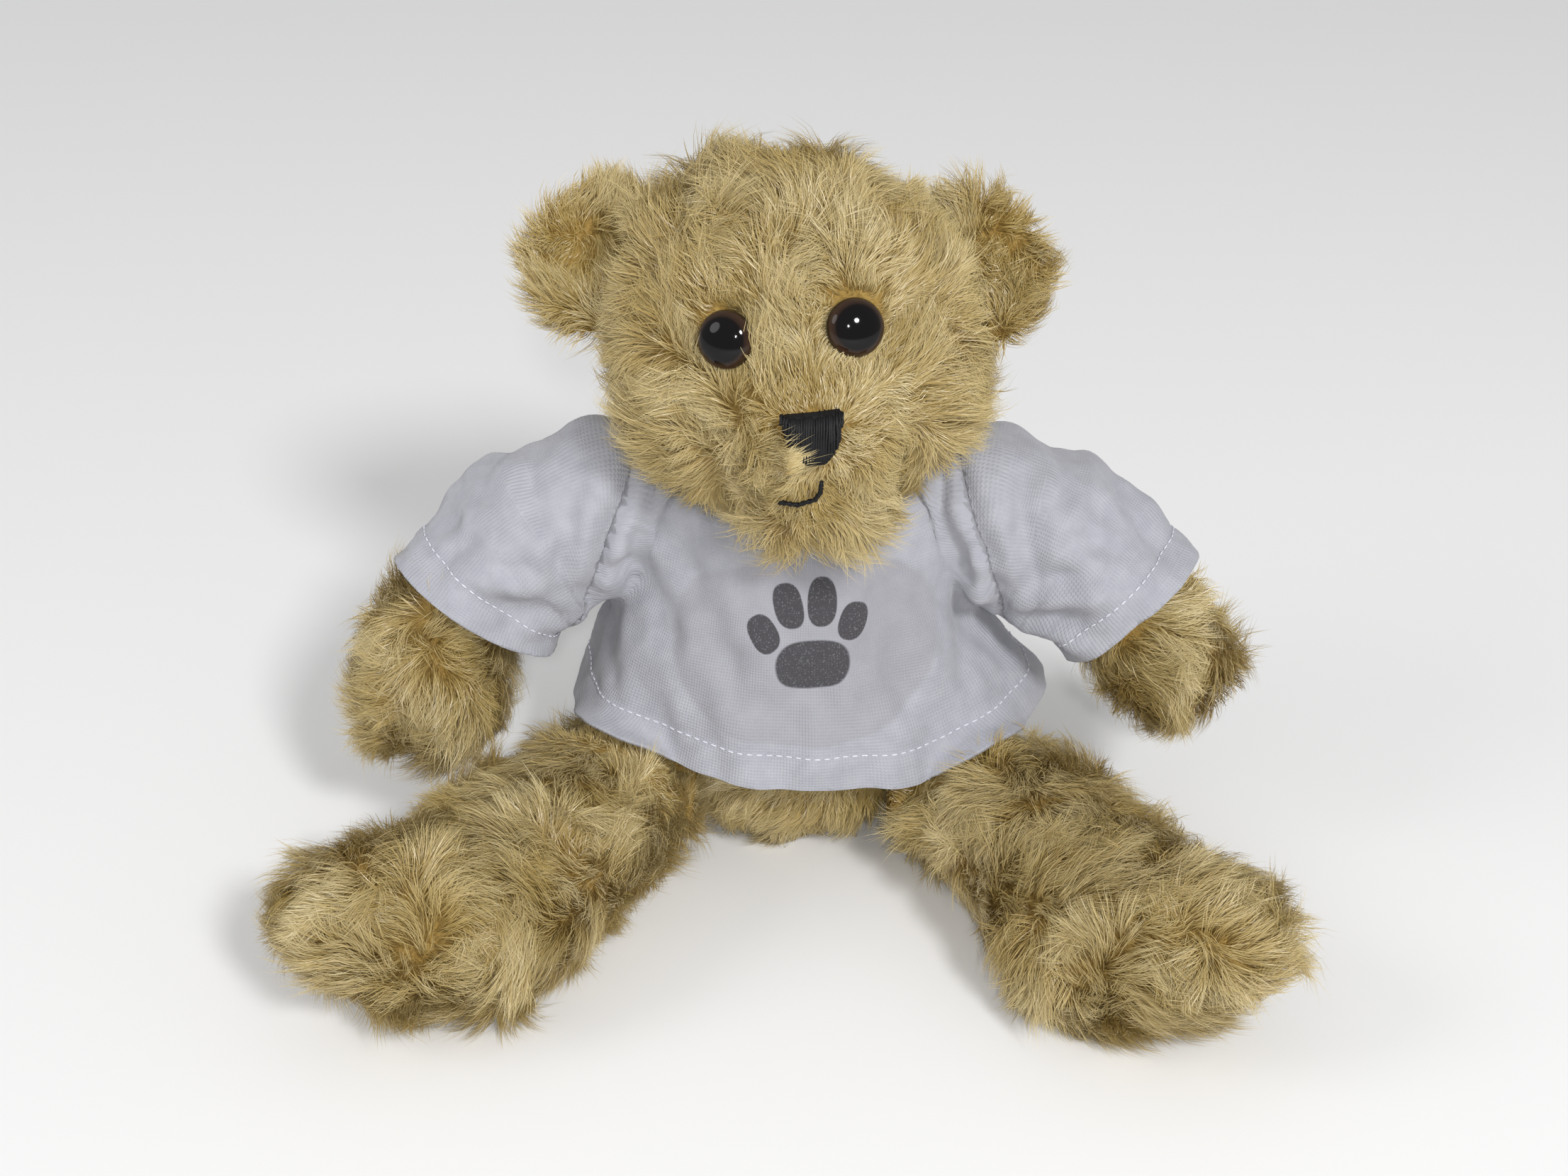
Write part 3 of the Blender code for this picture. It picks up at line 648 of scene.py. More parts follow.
def refined(node):
    """(points, triangles) of a CAD solid after subdivision."""
    copy = placed("refined", frame["nodes"][node].data.copy())
    copy.modifiers.new("weld", "WELD").merge_threshold = 0.00005
    copy.modifiers.new("subdivide", "SUBSURF").levels = 1
    result = modified(copy)
    points, triangles = mesh_arrays(result)
    bpy.data.meshes.remove(result)
    return points, triangles


def cup_facing(points):
    """The way the ear's hollow front faces: square to the ear's broad sheet, and forwards."""
    _, _, axes = np.linalg.svd(points - points.mean(axis=0), full_matrices=False)
    return axes[2] * (1 if axes[2][1] < 0 else -1)


def build_ear(side, fibre, ground):
    points, triangles = refined(f"ear_{side}")
    ear = Plush(f"ear_{side}", "head", [f"ear_{side}"], points, triangles)
    roots = ear.backing(ground, np.full(len(points), EAR_DEPTH))
    root = points[np.argmin(np.linalg.norm(points - HEAD_MIDDLE, axis=1))]
    facing = cup_facing(points)

    def in_cup(places, normals):
        """1 in the hollow front of the ear and 0 on its rim and back."""
        reach = np.linalg.norm(along_surface(places - points.mean(axis=0), facing[None]), axis=1)
        return ramp(normals @ facing, 0.35, 0.85) * (1 - ramp(reach, 5.5, 10.5))

    def outwards(places, normals):
        cup = in_cup(places, normals)[:, None]
        inwards = along_surface(np.tile((0.0, -0.2, -0.5), (len(places), 1)), normals)
        return unit(places - root) * (1 - 0.5 * cup) + inwards * (0.4 + cup)

    def length(places, normals):
        return PILE * (0.84 - 0.34 * in_cup(places, normals))

    def cover(places, facing):
        return np.full(len(places), 1.15)

    # painted shade: the pile is darker in the ear's hollow
    def shaded(places, normals):
        return 0.45 * in_cup(places, normals)

    ear.pile(roots, swirled(outwards, 0.45), length, cover, fibre, seed=30 + len(side), shaded=shaded)


def under_shirt(points):
    """1 where the shirt's body covers a place on the torso or a hip, and 0 well outside it."""
    spread = np.hypot(points[:, 0] / 50, (points[:, 1] - SHIRT_Y) / 40)
    return (1 - ramp(spread, 0.86, 0.98)) * ramp(points[:, 2], 33, 38)


def under_hem(points):
    """1 where the shirt's hem lies over a thigh, and 0 out in the open."""
    spread = np.hypot(points[:, 0] / 56, (points[:, 1] - SHIRT_Y) / 44)
    return (1 - ramp(spread, 1.03, 1.13)) * ramp(points[:, 2], 20, 27)


def build_torso(fibre, ground):
    low, high = node_box("torso_skin")
    middle = (low + high) / 2
    line = np.stack([(middle[0], middle[1], low[2] + 26), (middle[0], middle[1], high[2] - 26)])
    points, triangles = wrapped(node_tree("torso_skin"), line, spacing=3, segments=72, cap_rings=14)
    torso = Plush("torso", "torso", ["torso_skin", "torso_stuffing"], points, triangles)
    depth = np.full(len(points), BACKING_DEPTH) * (1 - 0.85 * (1 - ramp(points[:, 2], 0, 8)))
    roots = torso.backing(ground, depth)

    def downwards(places, normals):
        return np.tile((0.0, 0.0, -0.7), (len(places), 1))

    def length(places, normals):
        return PILE * (0.85 - 0.45 * under_shirt(places))

    def cover(places, facing):
        return np.where(places[:, 2] > 52, 0.0, 1.0) * (1 - 0.6 * under_shirt(places))

    torso.pile(roots, swirled(downwards, 0.6), length, cover, fibre, seed=41)


def build_limb(name, fibre, ground, seed, bare, clear):
    """An arm or a leg. bare says where clothes flatten its pile, clear how far from the joint it starts."""
    node = f"{name}_skin"
    solid, _ = node_mesh(node)
    line = centre_line(solid, joint_point(name), steps=9, margin=14)
    points, triangles = wrapped(node_tree(node), line, spacing=2.4, segments=56)
    LIMB_SKINS[name] = (points, triangles)
    limb = Plush(name, name, [node, f"{name}_stuffing"], points, triangles)
    depth = np.full(len(points), BACKING_DEPTH) * (1 - 0.75 * (1 - ramp(points[:, 2], 0, 6)))
    roots = limb.backing(ground, depth)
    headings = unit(np.gradient(line, axis=0))

    def along(places, normals):
        nearest = np.linalg.norm(places[:, None] - line[None], axis=2).argmin(axis=1)
        return headings[nearest] * 0.55

    def length(places, normals):
        return PILE * (1 - 0.74 * bare(places))

    def cover(places, facing):
        return (1 - 0.15 * bare(places)) * ramp(np.linalg.norm(places - line[0], axis=1), clear, clear + 7)

    limb.pile(roots, swirled(along, 0.85), length, cover, fibre, seed=seed)


def arc_of(points, line):
    """How far along a line each point lies, and how far from it."""
    starts, steps = line[:-1], np.diff(line, axis=0)
    lengths = np.linalg.norm(steps, axis=1)
    shares = ((points[:, None] - starts) * steps).sum(axis=2) / lengths**2
    shares[:, 1:] = np.maximum(shares[:, 1:], 0)
    shares[:, :-1] = np.minimum(shares[:, :-1], 1)
    gaps = np.linalg.norm(points[:, None] - starts - shares[:, :, None] * steps, axis=2)
    nearest = gaps.argmin(axis=1)
    each = np.arange(len(points))
    before = lengths_along(line)[nearest]
    return before + shares[each, nearest] * lengths[nearest], gaps[each, nearest]


def at_arc(line, arcs):
    """The points at these distances along a line, which runs on straight past its ends."""
    lengths = lengths_along(line)
    inside = np.stack([np.interp(arcs, lengths, line[:, axis]) for axis in range(3)], axis=1)
    over = np.maximum(arcs - lengths[-1], 0)[:, None] * unit(line[-1] - line[-2])
    under = np.maximum(-arcs, 0)[:, None] * unit(line[0] - line[1])
    return inside + over + under


def bare_under_sleeve(line, hem):
    def bare(points):
        return 1 - ramp(arc_of(points, line)[0], hem - 3, hem + 2)

    return bare


# The shirt


HEM_BAND = 6.5  # width of the turned-up hems
CLOTH = 0.8  # its thickness
CLOTH_OVER_THIGH = 2.2  # the cloth keeps this far above the middle of a thigh's pile
BODY_CUT = 36.0  # the height at which the shirt's body is cut, before it drapes
NECK_CUT = 90.5
SHIRT_Y = 2  # the middle of the shirt's body, front to back
SEAM_X, SEAM_Z = 46, 66  # a point of the armhole seam's plane
SEAM_OUT, SEAM_UP = 0.963, 0.271  # the way that plane faces, out and up
ARMPIT = 60  # its height

# The creases that the sitting bear gives its shirt. Each has a start and an end, a width and a height, and
# the way its middle bows out.
BODY_FOLDS = [
    # from each armpit over the chest, towards the neck
    ((-45, -10, 67), (-10, -33, 80), 3.4, 2.6, (0, -4, 1)),
    ((-44, -16, 60), (-18, -36, 69), 3.2, 2.0, (0, -2, 1)),
    ((-42, -12, 76), (-20, -26, 86), 2.8, 1.8, (0, -3, 0)),
    ((45, -10, 67), (16, -32, 81), 3.4, 2.5, (0, -4, 1)),
    ((44, -14, 75), (24, -26, 86), 2.8, 1.8, (0, -2, 0)),
    ((45, -16, 59), (28, -33, 66), 3.0, 1.6, (0, -2, 0)),
    # across the belly, down to the hips
    ((-46, -12, 57), (-10, -40, 42), 3.2, 2.4, (-6, -8, -5)),
    ((-47, -6, 49), (-24, -38, 37), 2.8, 1.8, (-5, -5, -3)),
    ((44, -14, 57), (26, -36, 43), 3.2, 1.9, (5, -6, -3)),
    ((50, -4, 50), (46, -22, 37), 3.0, 1.6, (2, -2, 0)),
    ((4, -40, 40), (30, -37, 46), 3.0, 1.3, (0, -2, -2)),
    # down the sides and the back
    ((-44, 8, 62), (-50, 8, 40), 3.0, 1.6),
    ((44, 10, 62), (50, 12, 40), 3.0, 1.6),
    ((-30, 30, 78), (-12, 40, 50), 3.6, 1.7, (0, 4, 0)),
    ((28, 31, 76), (14, 40, 52), 3.4, 1.6, (0, 4, 0)),
    ((-40, 22, 70), (-34, 34, 44), 3.0, 1.4, (0, 3, 0)),
    ((40, 22, 70), (36, 34, 46), 3.0, 1.4, (0, 3, 0)),
]
# The same on both sides, given for the left.
SIDE_FOLDS = [
    # round each armhole
    ((44, -15, 68), (36, -10, 91), 2.6, 1.7, (0, -5, 0)),
    ((50, -15, 64), (42, -7, 97), 2.8, 2.1, (0, -6, 0)),
    ((47, 16, 66), (41, 10, 95), 2.8, 1.8, (0, 5, 0)),
    # from the armpit out along the sleeve
    ((50, -13, 66), (74, -23, 73), 3.0, 2.2, (0, -3, 3)),
    ((51, -10, 60), (72, -20, 57), 2.8, 2.2, (0, -4, 2)),
    ((54, -14, 80), (80, -19, 70), 3.2, 1.5, (0, -2, 3)),
    ((52, 14, 66), (74, 12, 60), 3.0, 1.8),
    ((52, 15, 78), (76, 12, 72), 3.2, 1.5),
    # the fullness over each shoulder, beside the neck, and the hollow beyond it, with no valleys beside them
    ((18, -4, 90), (57, -3, 97), 13, 5.6, (0, 0, 0), 0),
    ((66, -6, 94), (88, -8, 77), 11, -2.8, (0, 0, 0), 0),
]


class Folds:
    """Soft ridges and creases across the cloth, each along a line between two points."""

    def __init__(self):
        self.found = []
        for fold in BODY_FOLDS:
            self.add(1, *fold)
        for side in (-1, 1):
            for fold in SIDE_FOLDS:
                self.add(side, *fold)

    def add(self, side, start, end, width, height, bow=(0, 0, 0), valley=0.45):
        start, end, bow = (np.array(part) * (side, 1.0, 1.0) for part in (start, end, bow))
        t = np.linspace(0, 1, 9)[:, None]
        line = start + (end - start) * t + bow * (4 * t * (1 - t))
        self.found.append((line, width, height, valley))

    def __call__(self, points):
        total = np.zeros(len(points))
        for line, width, height, valley in self.found:
            arc, gap = arc_of(points, line)
            length = np.linalg.norm(np.diff(line, axis=0), axis=1).sum()
            taper = np.clip(np.sin(np.pi * np.clip(arc / length, 0, 1)), 0, 1) ** 0.7
            across = gap / width
            beside = valley * np.exp(-((across - 1.7) ** 2) / 0.6)
            total += height * taper * (np.exp(-(across**2)) - beside)
        return total


def shirt_stations():
    """(height, half-width, half-depth, middle) up the CAD shirt's body, carried on below its hem."""
    tree = node_tree("shirt_body")
    low, high = node_box("shirt_body")
    found = []
    for height in np.linspace(low[2] + 0.8, high[2] - 2, 12):
        front = tree.ray_cast(Vector((0, -OUTSIDE, height)), Vector((0, 1, 0)))[0].y
        back = tree.ray_cast(Vector((0, OUTSIDE, height)), Vector((0, -1, 0)))[0].y
        middle, deep = (front + back) / 2, (back - front) / 2
        heading = Vector((1, -1, 0)).normalized()
        hit = tree.ray_cast(Vector((0, middle, height)) + OUTSIDE * heading, -heading)[0]
        wide = hit.x / math.sqrt(max(0.05, 1 - ((hit.y - middle) / deep) ** 2))
        found.append((height, wide, deep, middle))
    height, wide, deep, middle = found[0]
    below = [(height - drop, wide + 0.36 * drop, deep + 0.25 * drop, middle) for drop in (16, 10, 5)]
    collar = ((-0.4, 22, 21), (1.0, 20, 19.5), (7, 20, 19.5))
    above = [(NECK_CUT + up, wide, deep, SHIRT_Y) for up, wide, deep in collar]
    return below + found + above


def shirt_solids(arm_lines, hems):
    """Closed solids of the shirt's body and its sleeves, which run into one another."""
    around = np.arange(72) * 2 * np.pi / 72
    rings = [
        np.stack([wide * np.cos(around), middle + deep * np.sin(around), np.full(72, height)], axis=1)
        for height, wide, deep, middle in shirt_stations()
    ]
    parts = [rings]
    for side, line in arm_lines.items():
        cloth, _ = node_mesh(f"shirt_sleeve_{side}")
        arcs, gaps = arc_of(cloth, line)
        hem = hems[side]
        stops = np.arange(-8, hem + 4, 2.5)
        outer = [np.percentile(gaps[np.abs(arcs - min(max(stop, 3), hem - 1)) < 5], 75) for stop in stops]
        outer = np.convolve(np.pad(outer, 2, mode="edge"), np.ones(5) / 5, mode="valid") + 0.4
        centres = at_arc(line, stops)
        _, sides, ups = frames_along(centres)
        rings = []
        for centre, across, up, size, stop in zip(centres, sides, ups, outer, stops):
            size = size * (0.55 if stop < -4 else 0.8 if stop < 0 else 1.0)
            rings.append(centre + size * circle(48, across, up))
        parts.append(rings)
    return parts


def remeshed(parts, voxel, smoothing):
    """One smooth (points, quads) skin round several overlapping lofted solids."""
    points, faces, offset = [], [], 0
    for rings in parts:
        size = len(rings[0])
        ends = [rings[0].mean(axis=0), rings[-1].mean(axis=0)]
        solid = np.concatenate([*rings, ends])
        triangles = grid_triangles(len(rings), size)
        centre = solid.mean(axis=0)
        if np.linalg.det(solid[triangles] - centre).sum() < 0:  # the faces look inwards
            triangles = triangles[:, ::-1]
        points.append(solid)
        faces.append(triangles + offset)
        offset += len(solid)
    mesh = bpy.data.meshes.new("garment")
    mesh.from_pydata((np.concatenate(points) * MM).tolist(), [], np.concatenate(faces).tolist())
    garment = placed("garment", mesh)
    remesh = garment.modifiers.new("union", "REMESH")
    remesh.mode = "VOXEL"
    remesh.voxel_size = voxel * MM
    smooth = garment.modifiers.new("smooth", "SMOOTH")
    smooth.factor = 0.5
    smooth.iterations = smoothing
    return modified(garment)


def cut(cloth, point, heading, chosen, discard=True):
    """Cuts the chosen faces of a bmesh along a plane, and drops what lies beyond it."""
    faces = [face for face in cloth.faces if chosen(face.calc_center_median() / MM)]
    edges = dict.fromkeys(edge for face in faces for edge in face.edges)
    verts = dict.fromkeys(vert for face in faces for vert in face.verts)
    bmesh.ops.bisect_plane(
        cloth,
        geom=[*verts, *edges, *faces],
        plane_co=Vector(point) * MM,
        plane_no=Vector(heading),
        clear_outer=discard,
    )


def seam_side(points):
    """How far points lie beyond the armhole seam on their own side, negative on the shirt's body."""
    x, z = np.abs(points[..., 0]), points[..., 2]
    beyond = (x - SEAM_X) * SEAM_OUT + (z - SEAM_Z) * SEAM_UP
    low = x - 50 - (ARMPIT - z) * 0.2
    return np.where(z > ARMPIT, beyond, low)


def on_side(points, sign):
    """Which points lie on the sleeve of the side that sign says."""
    return (seam_side(points) >= 0) & (points[:, 0] * sign > 0)


def cut_garment(mesh, arm_lines, hems):
    """Opens the skin at the neck and the hems and cuts it along the armhole seams."""
    cloth = bmesh.new()
    cloth.from_mesh(mesh)
    cut(cloth, (0, 0, BODY_CUT), (0, 0, -1), lambda c: seam_side(np.array(c)) < 1)
    cut(cloth, (0, 0, NECK_CUT + 2), (0, 0, 1), lambda c: math.hypot(c.x, c.y - SHIRT_Y) < 24)
    for side, line in arm_lines.items():
        sign = SIDES[side]
        before, point, after = at_arc(line, hems[side] + np.array([-5, 0, 3]))
        cut(cloth, point, unit(after - before), lambda c: c.x * sign > 0 and seam_side(np.array(c)) > 1)
        seam, heading = (SEAM_X * sign, 0, SEAM_Z), (SEAM_OUT * sign, 0, SEAM_UP)
        cut(cloth, seam, heading, lambda c: c.z > ARMPIT and c.x * sign > 20, discard=False)
    cloth.to_mesh(mesh)
    cloth.free()


CREASES = Noise(17, seed=61)
FINE_CREASES = Noise(7.5, seed=62)


class Drape:
    """How the cut cloth settles: its folds, its hanging hem, and the legs that it lies on."""

    def __init__(self, arm_lines, hems, legs, edges):
        self.folds = Folds()
        self.arm_lines, self.hems, self.legs, self.edges = arm_lines, hems, legs, edges
        self.ends = np.maximum(np.bincount(edges.reshape(-1)), 1)

    def hem_gap(self, points):
        """Distance from the nearest cut edge of the cloth, at a hem."""
        gaps = np.where(seam_side(points) < 0, points[:, 2] - BODY_CUT, 99.0)
        for side, line in self.arm_lines.items():
            sleeve = on_side(points, SIDES[side])
            gaps[sleeve] = self.hems[side] - arc_of(points[sleeve], line)[0]
        return gaps

    def hem_height(self, points):
        """The height at which the hem of the shirt's body hangs all round."""
        turn = np.arctan2(points[:, 1] - SHIRT_Y, points[:, 0])
        front = np.clip(-np.sin(turn), 0, 1)
        side = np.abs(np.cos(turn)) ** 6
        return 29.5 + 2.5 * front**2 + 5.0 * side + 1.2 * np.cos(3 * turn + 0.6) + 0.7 * np.cos(5 * turn)

    def __call__(self, points, normals):
        gap = self.hem_gap(points)
        loose = 0.55 + 0.45 * ramp(gap, 0, 14)
        height = 1.25 * self.folds(points) * loose
        height += 0.75 * CREASES(points)[:, 0]
        height += 0.22 * FINE_CREASES(points)[:, 0]
        seam = np.abs(seam_side(points))
        armhole = (points[:, 2] > ARMPIT) & (np.abs(points[:, 0]) > 30)
        height -= np.where(armhole, 0.75 * np.exp(-((seam / 1.1) ** 2)), 0)
        height += np.where(armhole, 0.35 * np.exp(-(((seam - 2.2) / 1.4) ** 2)), 0)
        turned_up = 0.30 * (1 - ramp(gap, HEM_BAND - 0.5, HEM_BAND + 0.6))
        height += turned_up - 0.35 * np.exp(-(((gap - HEM_BAND) / 0.9) ** 2))
        moved = points + normals * height[:, None]
        body = seam_side(points) < 0
        hang = np.where(body, 1 - ramp(points[:, 2], BODY_CUT - 4, 66), 0)
        moved[:, 2] -= hang**1.3 * (BODY_CUT - self.hem_height(points))
        turn = np.arctan2(points[:, 1] - SHIRT_Y, points[:, 0])
        wave = 1.1 * np.sin(4 * turn + 0.8) + 0.8 * np.sin(7 * turn + 2.0)
        flare = 7.5 * np.exp(-(((turn + 0.20) / 0.62) ** 2))
        flare += 0.5 * np.exp(-(((np.abs(turn) - 2.9) / 0.5) ** 2))
        moved += (hang**2 * wave + hang**1.5 * flare)[:, None] * unit(normals * (1, 1, 0))
        return self.over_legs(moved, normals, body)

    def over_legs(self, points, normals, body):
        """Lays the hem on the thighs. Cloth that a thigh lifts slides out and takes its neighbours along."""
        lifted = self.off_legs(points, body)
        rise = np.maximum(lifted[:, 2:] - points[:, 2:], 0)
        slide = (0.3 + ramp(-normals[:, 1:2], 0.1, 0.8)) * rise
        shift = lifted - points + slide * unit(normals * (1, 1, 0))
        for _ in range(14):
            near = np.zeros_like(shift)
            np.add.at(near, self.edges[:, 0], shift[self.edges[:, 1]])
            np.add.at(near, self.edges[:, 1], shift[self.edges[:, 0]])
            shift = np.where(body[:, None], 0.4 * shift + 0.6 * near / self.ends[:, None], 0)
        return self.off_legs(points + shift, body)

    def off_legs(self, points, body):
        points = points.copy()
        low = np.flatnonzero(body & (points[:, 2] < 56))
        for tree in self.legs:
            for index in low:
                place, normal, _, apart = tree.find_nearest(Vector(points[index]))
                away = Vector(points[index]) - place
                depth = away.dot(normal)
                if depth < CLOTH_OVER_THIGH and apart < 16:
                    points[index] += np.array(normal) * (CLOTH_OVER_THIGH - depth)
        return points


def carried(places, points, settled):
    """Places on the cut cloth, moved as the cloth round them settles."""
    finder = KDTree(len(points))
    for index, point in enumerate(points):
        finder.insert(Vector(point), index)
    finder.balance()
    moved = []
    for place in places:
        found = finder.find_n(Vector(place), 5)
        weights = np.array([1 / (gap + 0.1) for _, _, gap in found])
        shifts = np.array([settled[index] - points[index] for _, index, _ in found])
        moved.append(place + (weights[:, None] * shifts).sum(axis=0) / weights.sum())
    return np.array(moved)


def jersey_material():
    """Fine single jersey with a printed paw on the chest, in a faint panel where it was pressed."""
    material, tree, principled = shader("jersey", roughness=0.82, specular=0.25, sheen=0.25)

    def calc(operation, first, second=None):
        return math_node(tree, operation, first, second)

    across, along = map_parts(tree, KNIT_UV)
    wales = calc("MULTIPLY", across, 2 * math.pi / (0.78 * MM))
    courses = calc("MULTIPLY", along, 2 * math.pi / (0.60 * MM))
    rib = calc("ABSOLUTE", calc("SINE", calc("MULTIPLY", wales, 0.5)))
    loops = calc("SINE", calc("ADD", courses, calc("MULTIPLY", rib, 2.4)))
    height = calc("ADD", rib, calc("MULTIPLY", loops, 0.35))
    height = calc("ADD", height, calc("MULTIPLY", object_noise(tree, 1500), 0.5))
    bump(tree, principled, height, strength=0.55, distance=0.00016)
    heather = [(0.3, (0.375, 0.380, 0.425)), (0.7, (0.435, 0.440, 0.485))]
    cloth = colour_ramp(tree, object_noise(tree, 260, detail=5), heather)
    where = tree.nodes.new("ShaderNodeTexCoord")
    parts = tree.nodes.new("ShaderNodeSeparateXYZ")
    tree.links.new(where.outputs["Object"], parts.inputs["Vector"])
    front = calc("LESS_THAN", parts.outputs["Y"], 0.0)

    def oval(centre, radii, tilt, edge):
        """1 inside an oval on the chest, seen from in front, and 0 outside it."""
        x = calc("SUBTRACT", parts.outputs["X"], centre[0] * MM)
        z = calc("SUBTRACT", parts.outputs["Z"], centre[1] * MM)
        cosine, sine = math.cos(math.radians(tilt)), math.sin(math.radians(tilt))
        axes = [
            calc("ADD", calc("MULTIPLY", x, cosine), calc("MULTIPLY", z, sine)),
            calc("SUBTRACT", calc("MULTIPLY", z, cosine), calc("MULTIPLY", x, sine)),
        ]
        shares = [calc("ABSOLUTE", calc("DIVIDE", axis, radius * MM)) for axis, radius in zip(axes, radii)]
        reach = calc("ADD", *(calc("POWER", share, 2.4) for share in shares))
        inside = calc("MULTIPLY", calc("SUBTRACT", 1.0, reach), edge)
        return calc("MINIMUM", calc("MAXIMUM", inside, 0.0), 1.0)

    # the sole and the four toes of the paw: middle, radii and lean
    pads = [((0, -4.8), (8.4, 6.2), 0), ((-9.8, 3.6), (3.1, 4.4), 24), ((-3.7, 8.7), (3.3, 4.8), 8)]
    pads += [((3.7, 8.7), (3.3, 4.8), -8), ((9.8, 3.6), (3.1, 4.4), -24)]
    middle, tilt = Vector((3.4, 65.0)), 8.0
    turn = Matrix.Rotation(math.radians(tilt), 2)
    ink = 0.0
    for place, radii, lean in pads:
        ink = calc("MAXIMUM", ink, oval(middle + turn @ Vector(place), radii, tilt + lean, 7.0))
    worn = calc("MULTIPLY", calc("GREATER_THAN", object_noise(tree, 2600, detail=1), 0.37), 0.25)
    ink = calc("MULTIPLY", calc("MULTIPLY", ink, calc("ADD", worn, 0.72)), front)
    panel = calc("MULTIPLY", oval((2.4, 62), (30, 21), tilt * 0.5, 9.0), front)
    pressed = tree.nodes.new("ShaderNodeRGB")
    pressed.outputs[0].default_value = (0.325, 0.317, 0.348, 1)
    charcoal = tree.nodes.new("ShaderNodeRGB")
    charcoal.outputs[0].default_value = (0.055, 0.052, 0.058, 1)
    cloth = mix_colours(tree, calc("MULTIPLY", panel, 0.55), cloth, pressed.outputs[0])
    tree.links.new(mix_colours(tree, ink, cloth, charcoal.outputs[0]), principled.inputs["Base Color"])
    return material


def thread_material(name, colour, roughness=0.4):
    """Twisted thread, with its colour a little uneven."""
    material, tree, principled = shader(name, roughness=roughness, specular=0.3)
    light = tuple(min(1.0, 1.3 * part + 0.004) for part in colour)
    shade = colour_ramp(tree, object_noise(tree, 2400), [(0.3, colour), (0.75, light)])
    tree.links.new(shade, principled.inputs["Base Color"])
    bump(tree, principled, object_noise(tree, 5000, detail=1), strength=0.4, distance=0.0001)
    return material


def knit_map(mesh, points, arm_lines):
    """Maps the cloth in metres, with the ribs of the knit running up the body and along the sleeves."""
    body_radius, sleeve_radius = 44, 18
    turn = np.arctan2(points[:, 0], -(points[:, 1] - SHIRT_Y))
    round_it, along = turn * body_radius, points[:, 2].copy()
    wrap = np.full(len(points), 2 * np.pi * body_radius)
    for side, line in arm_lines.items():
        mine = on_side(points, SIDES[side])
        arcs, _ = arc_of(points[mine], line)
        _, sides, ups = frames_along(at_arc(line, np.linspace(0, 60, 13)))
        index = np.clip(arcs / 5, 0, 12).astype(int)
        out = points[mine] - at_arc(line, arcs)
        angle = np.arctan2((out * ups[index]).sum(axis=1), (out * sides[index]).sum(axis=1))
        round_it[mine], along[mine], wrap[mine] = angle * sleeve_radius, arcs, 2 * np.pi * sleeve_radius
    loops = np.empty(len(mesh.loops), np.int32)
    mesh.loops.foreach_get("vertex_index", loops)
    starts = np.empty(len(mesh.polygons), np.int32)
    mesh.polygons.foreach_get("loop_start", starts)
    u, v, period = round_it[loops], along[loops], wrap[loops]
    face = np.cumsum(np.isin(np.arange(len(loops)), starts)) - 1
    first = u[starts][face]
    u = u - np.round((u - first) / period) * period
    layer = mesh.uv_layers.new(name=KNIT_UV)
    layer.data.foreach_set("uv", (np.stack([u, v], axis=1) * MM).astype(np.float32).reshape(-1))


def stitches(name, places, normals, body, thread):
    """A row of short dashes of thread along a closed loop of places."""
    points, faces = [], []
    pitch, dash, radius = 2.2, 1.45, 0.2
    loop = np.concatenate([places, places[:1]])
    lengths = lengths_along(loop)
    count = int(lengths[-1] / pitch)
    triangles = grid_triangles(4, 6)

    def at(arc):
        arc = arc % lengths[-1]
        index = min(int(np.searchsorted(lengths, arc, side="right")) - 1, len(places) - 1)
        share = (arc - lengths[index]) / (lengths[index + 1] - lengths[index])
        return loop[index] * (1 - share) + loop[index + 1] * share, normals[index]

    for number in range(count):
        start, normal = at(number * lengths[-1] / count)
        end, _ = at(number * lengths[-1] / count + dash)
        heading = unit(end - start)
        across = unit(np.cross(heading, normal))
        up = np.cross(across, heading)
        rings = []
        for share, size in ((0.0, 0.5), (0.25, 1.0), (0.75, 1.0), (1.0, 0.5)):
            centre = start + (end - start) * share + normal * 0.18
            rings.append(centre + radius * size * circle(6, across, up))
        dash_points = np.concatenate([*rings, [start, end]])
        faces.append(triangles + len(points) * len(dash_points))
        points.append(dash_points)
    return mesh_piece(name, np.concatenate(points), np.concatenate(faces), body, thread, "jersey")


def ring_round(tree, centres, headings, reach):
    """(places, normals) where rays from centres along headings leave a skin."""
    places, normals = [], []
    for centre, heading in zip(centres, headings):
        place, normal, _, _ = tree.ray_cast(Vector(centre + 3 * heading), Vector(heading), reach)
        if place is not None:
            places.append(np.array(place))
            normals.append(np.array(normal) * (1 if normal.dot(Vector(heading)) > 0 else -1))
    return np.array(places), np.array(normals)


def cloth_part(garment, points, wanted, name, jersey):
    """The garment's body, where wanted is 0, or else its sleeve on the side that wanted says."""
    part = garment.copy()
    cloth = bmesh.new()
    cloth.from_mesh(part)
    cloth.verts.ensure_lookup_table()
    for face in list(cloth.faces):
        middle = points[[vert.index for vert in face.verts]].mean(axis=0)
        sleeve = int(seam_side(middle) > 0) * (1 if middle[0] > 0 else -1)
        if sleeve != wanted:
            cloth.faces.remove(face)
    bmesh.ops.delete(cloth, geom=[vert for vert in cloth.verts if not vert.link_faces], context="VERTS")
    cloth.to_mesh(part)
    cloth.free()
    part.name = name
    part.materials.clear()
    part.materials.append(jersey)
    part.polygons.foreach_set("use_smooth", [True] * len(part.polygons))
    piece = placed(name, part)
    thick = piece.modifiers.new("cloth", "SOLIDIFY")
    thick.thickness = CLOTH * MM
    thick.offset = -1
    return piece


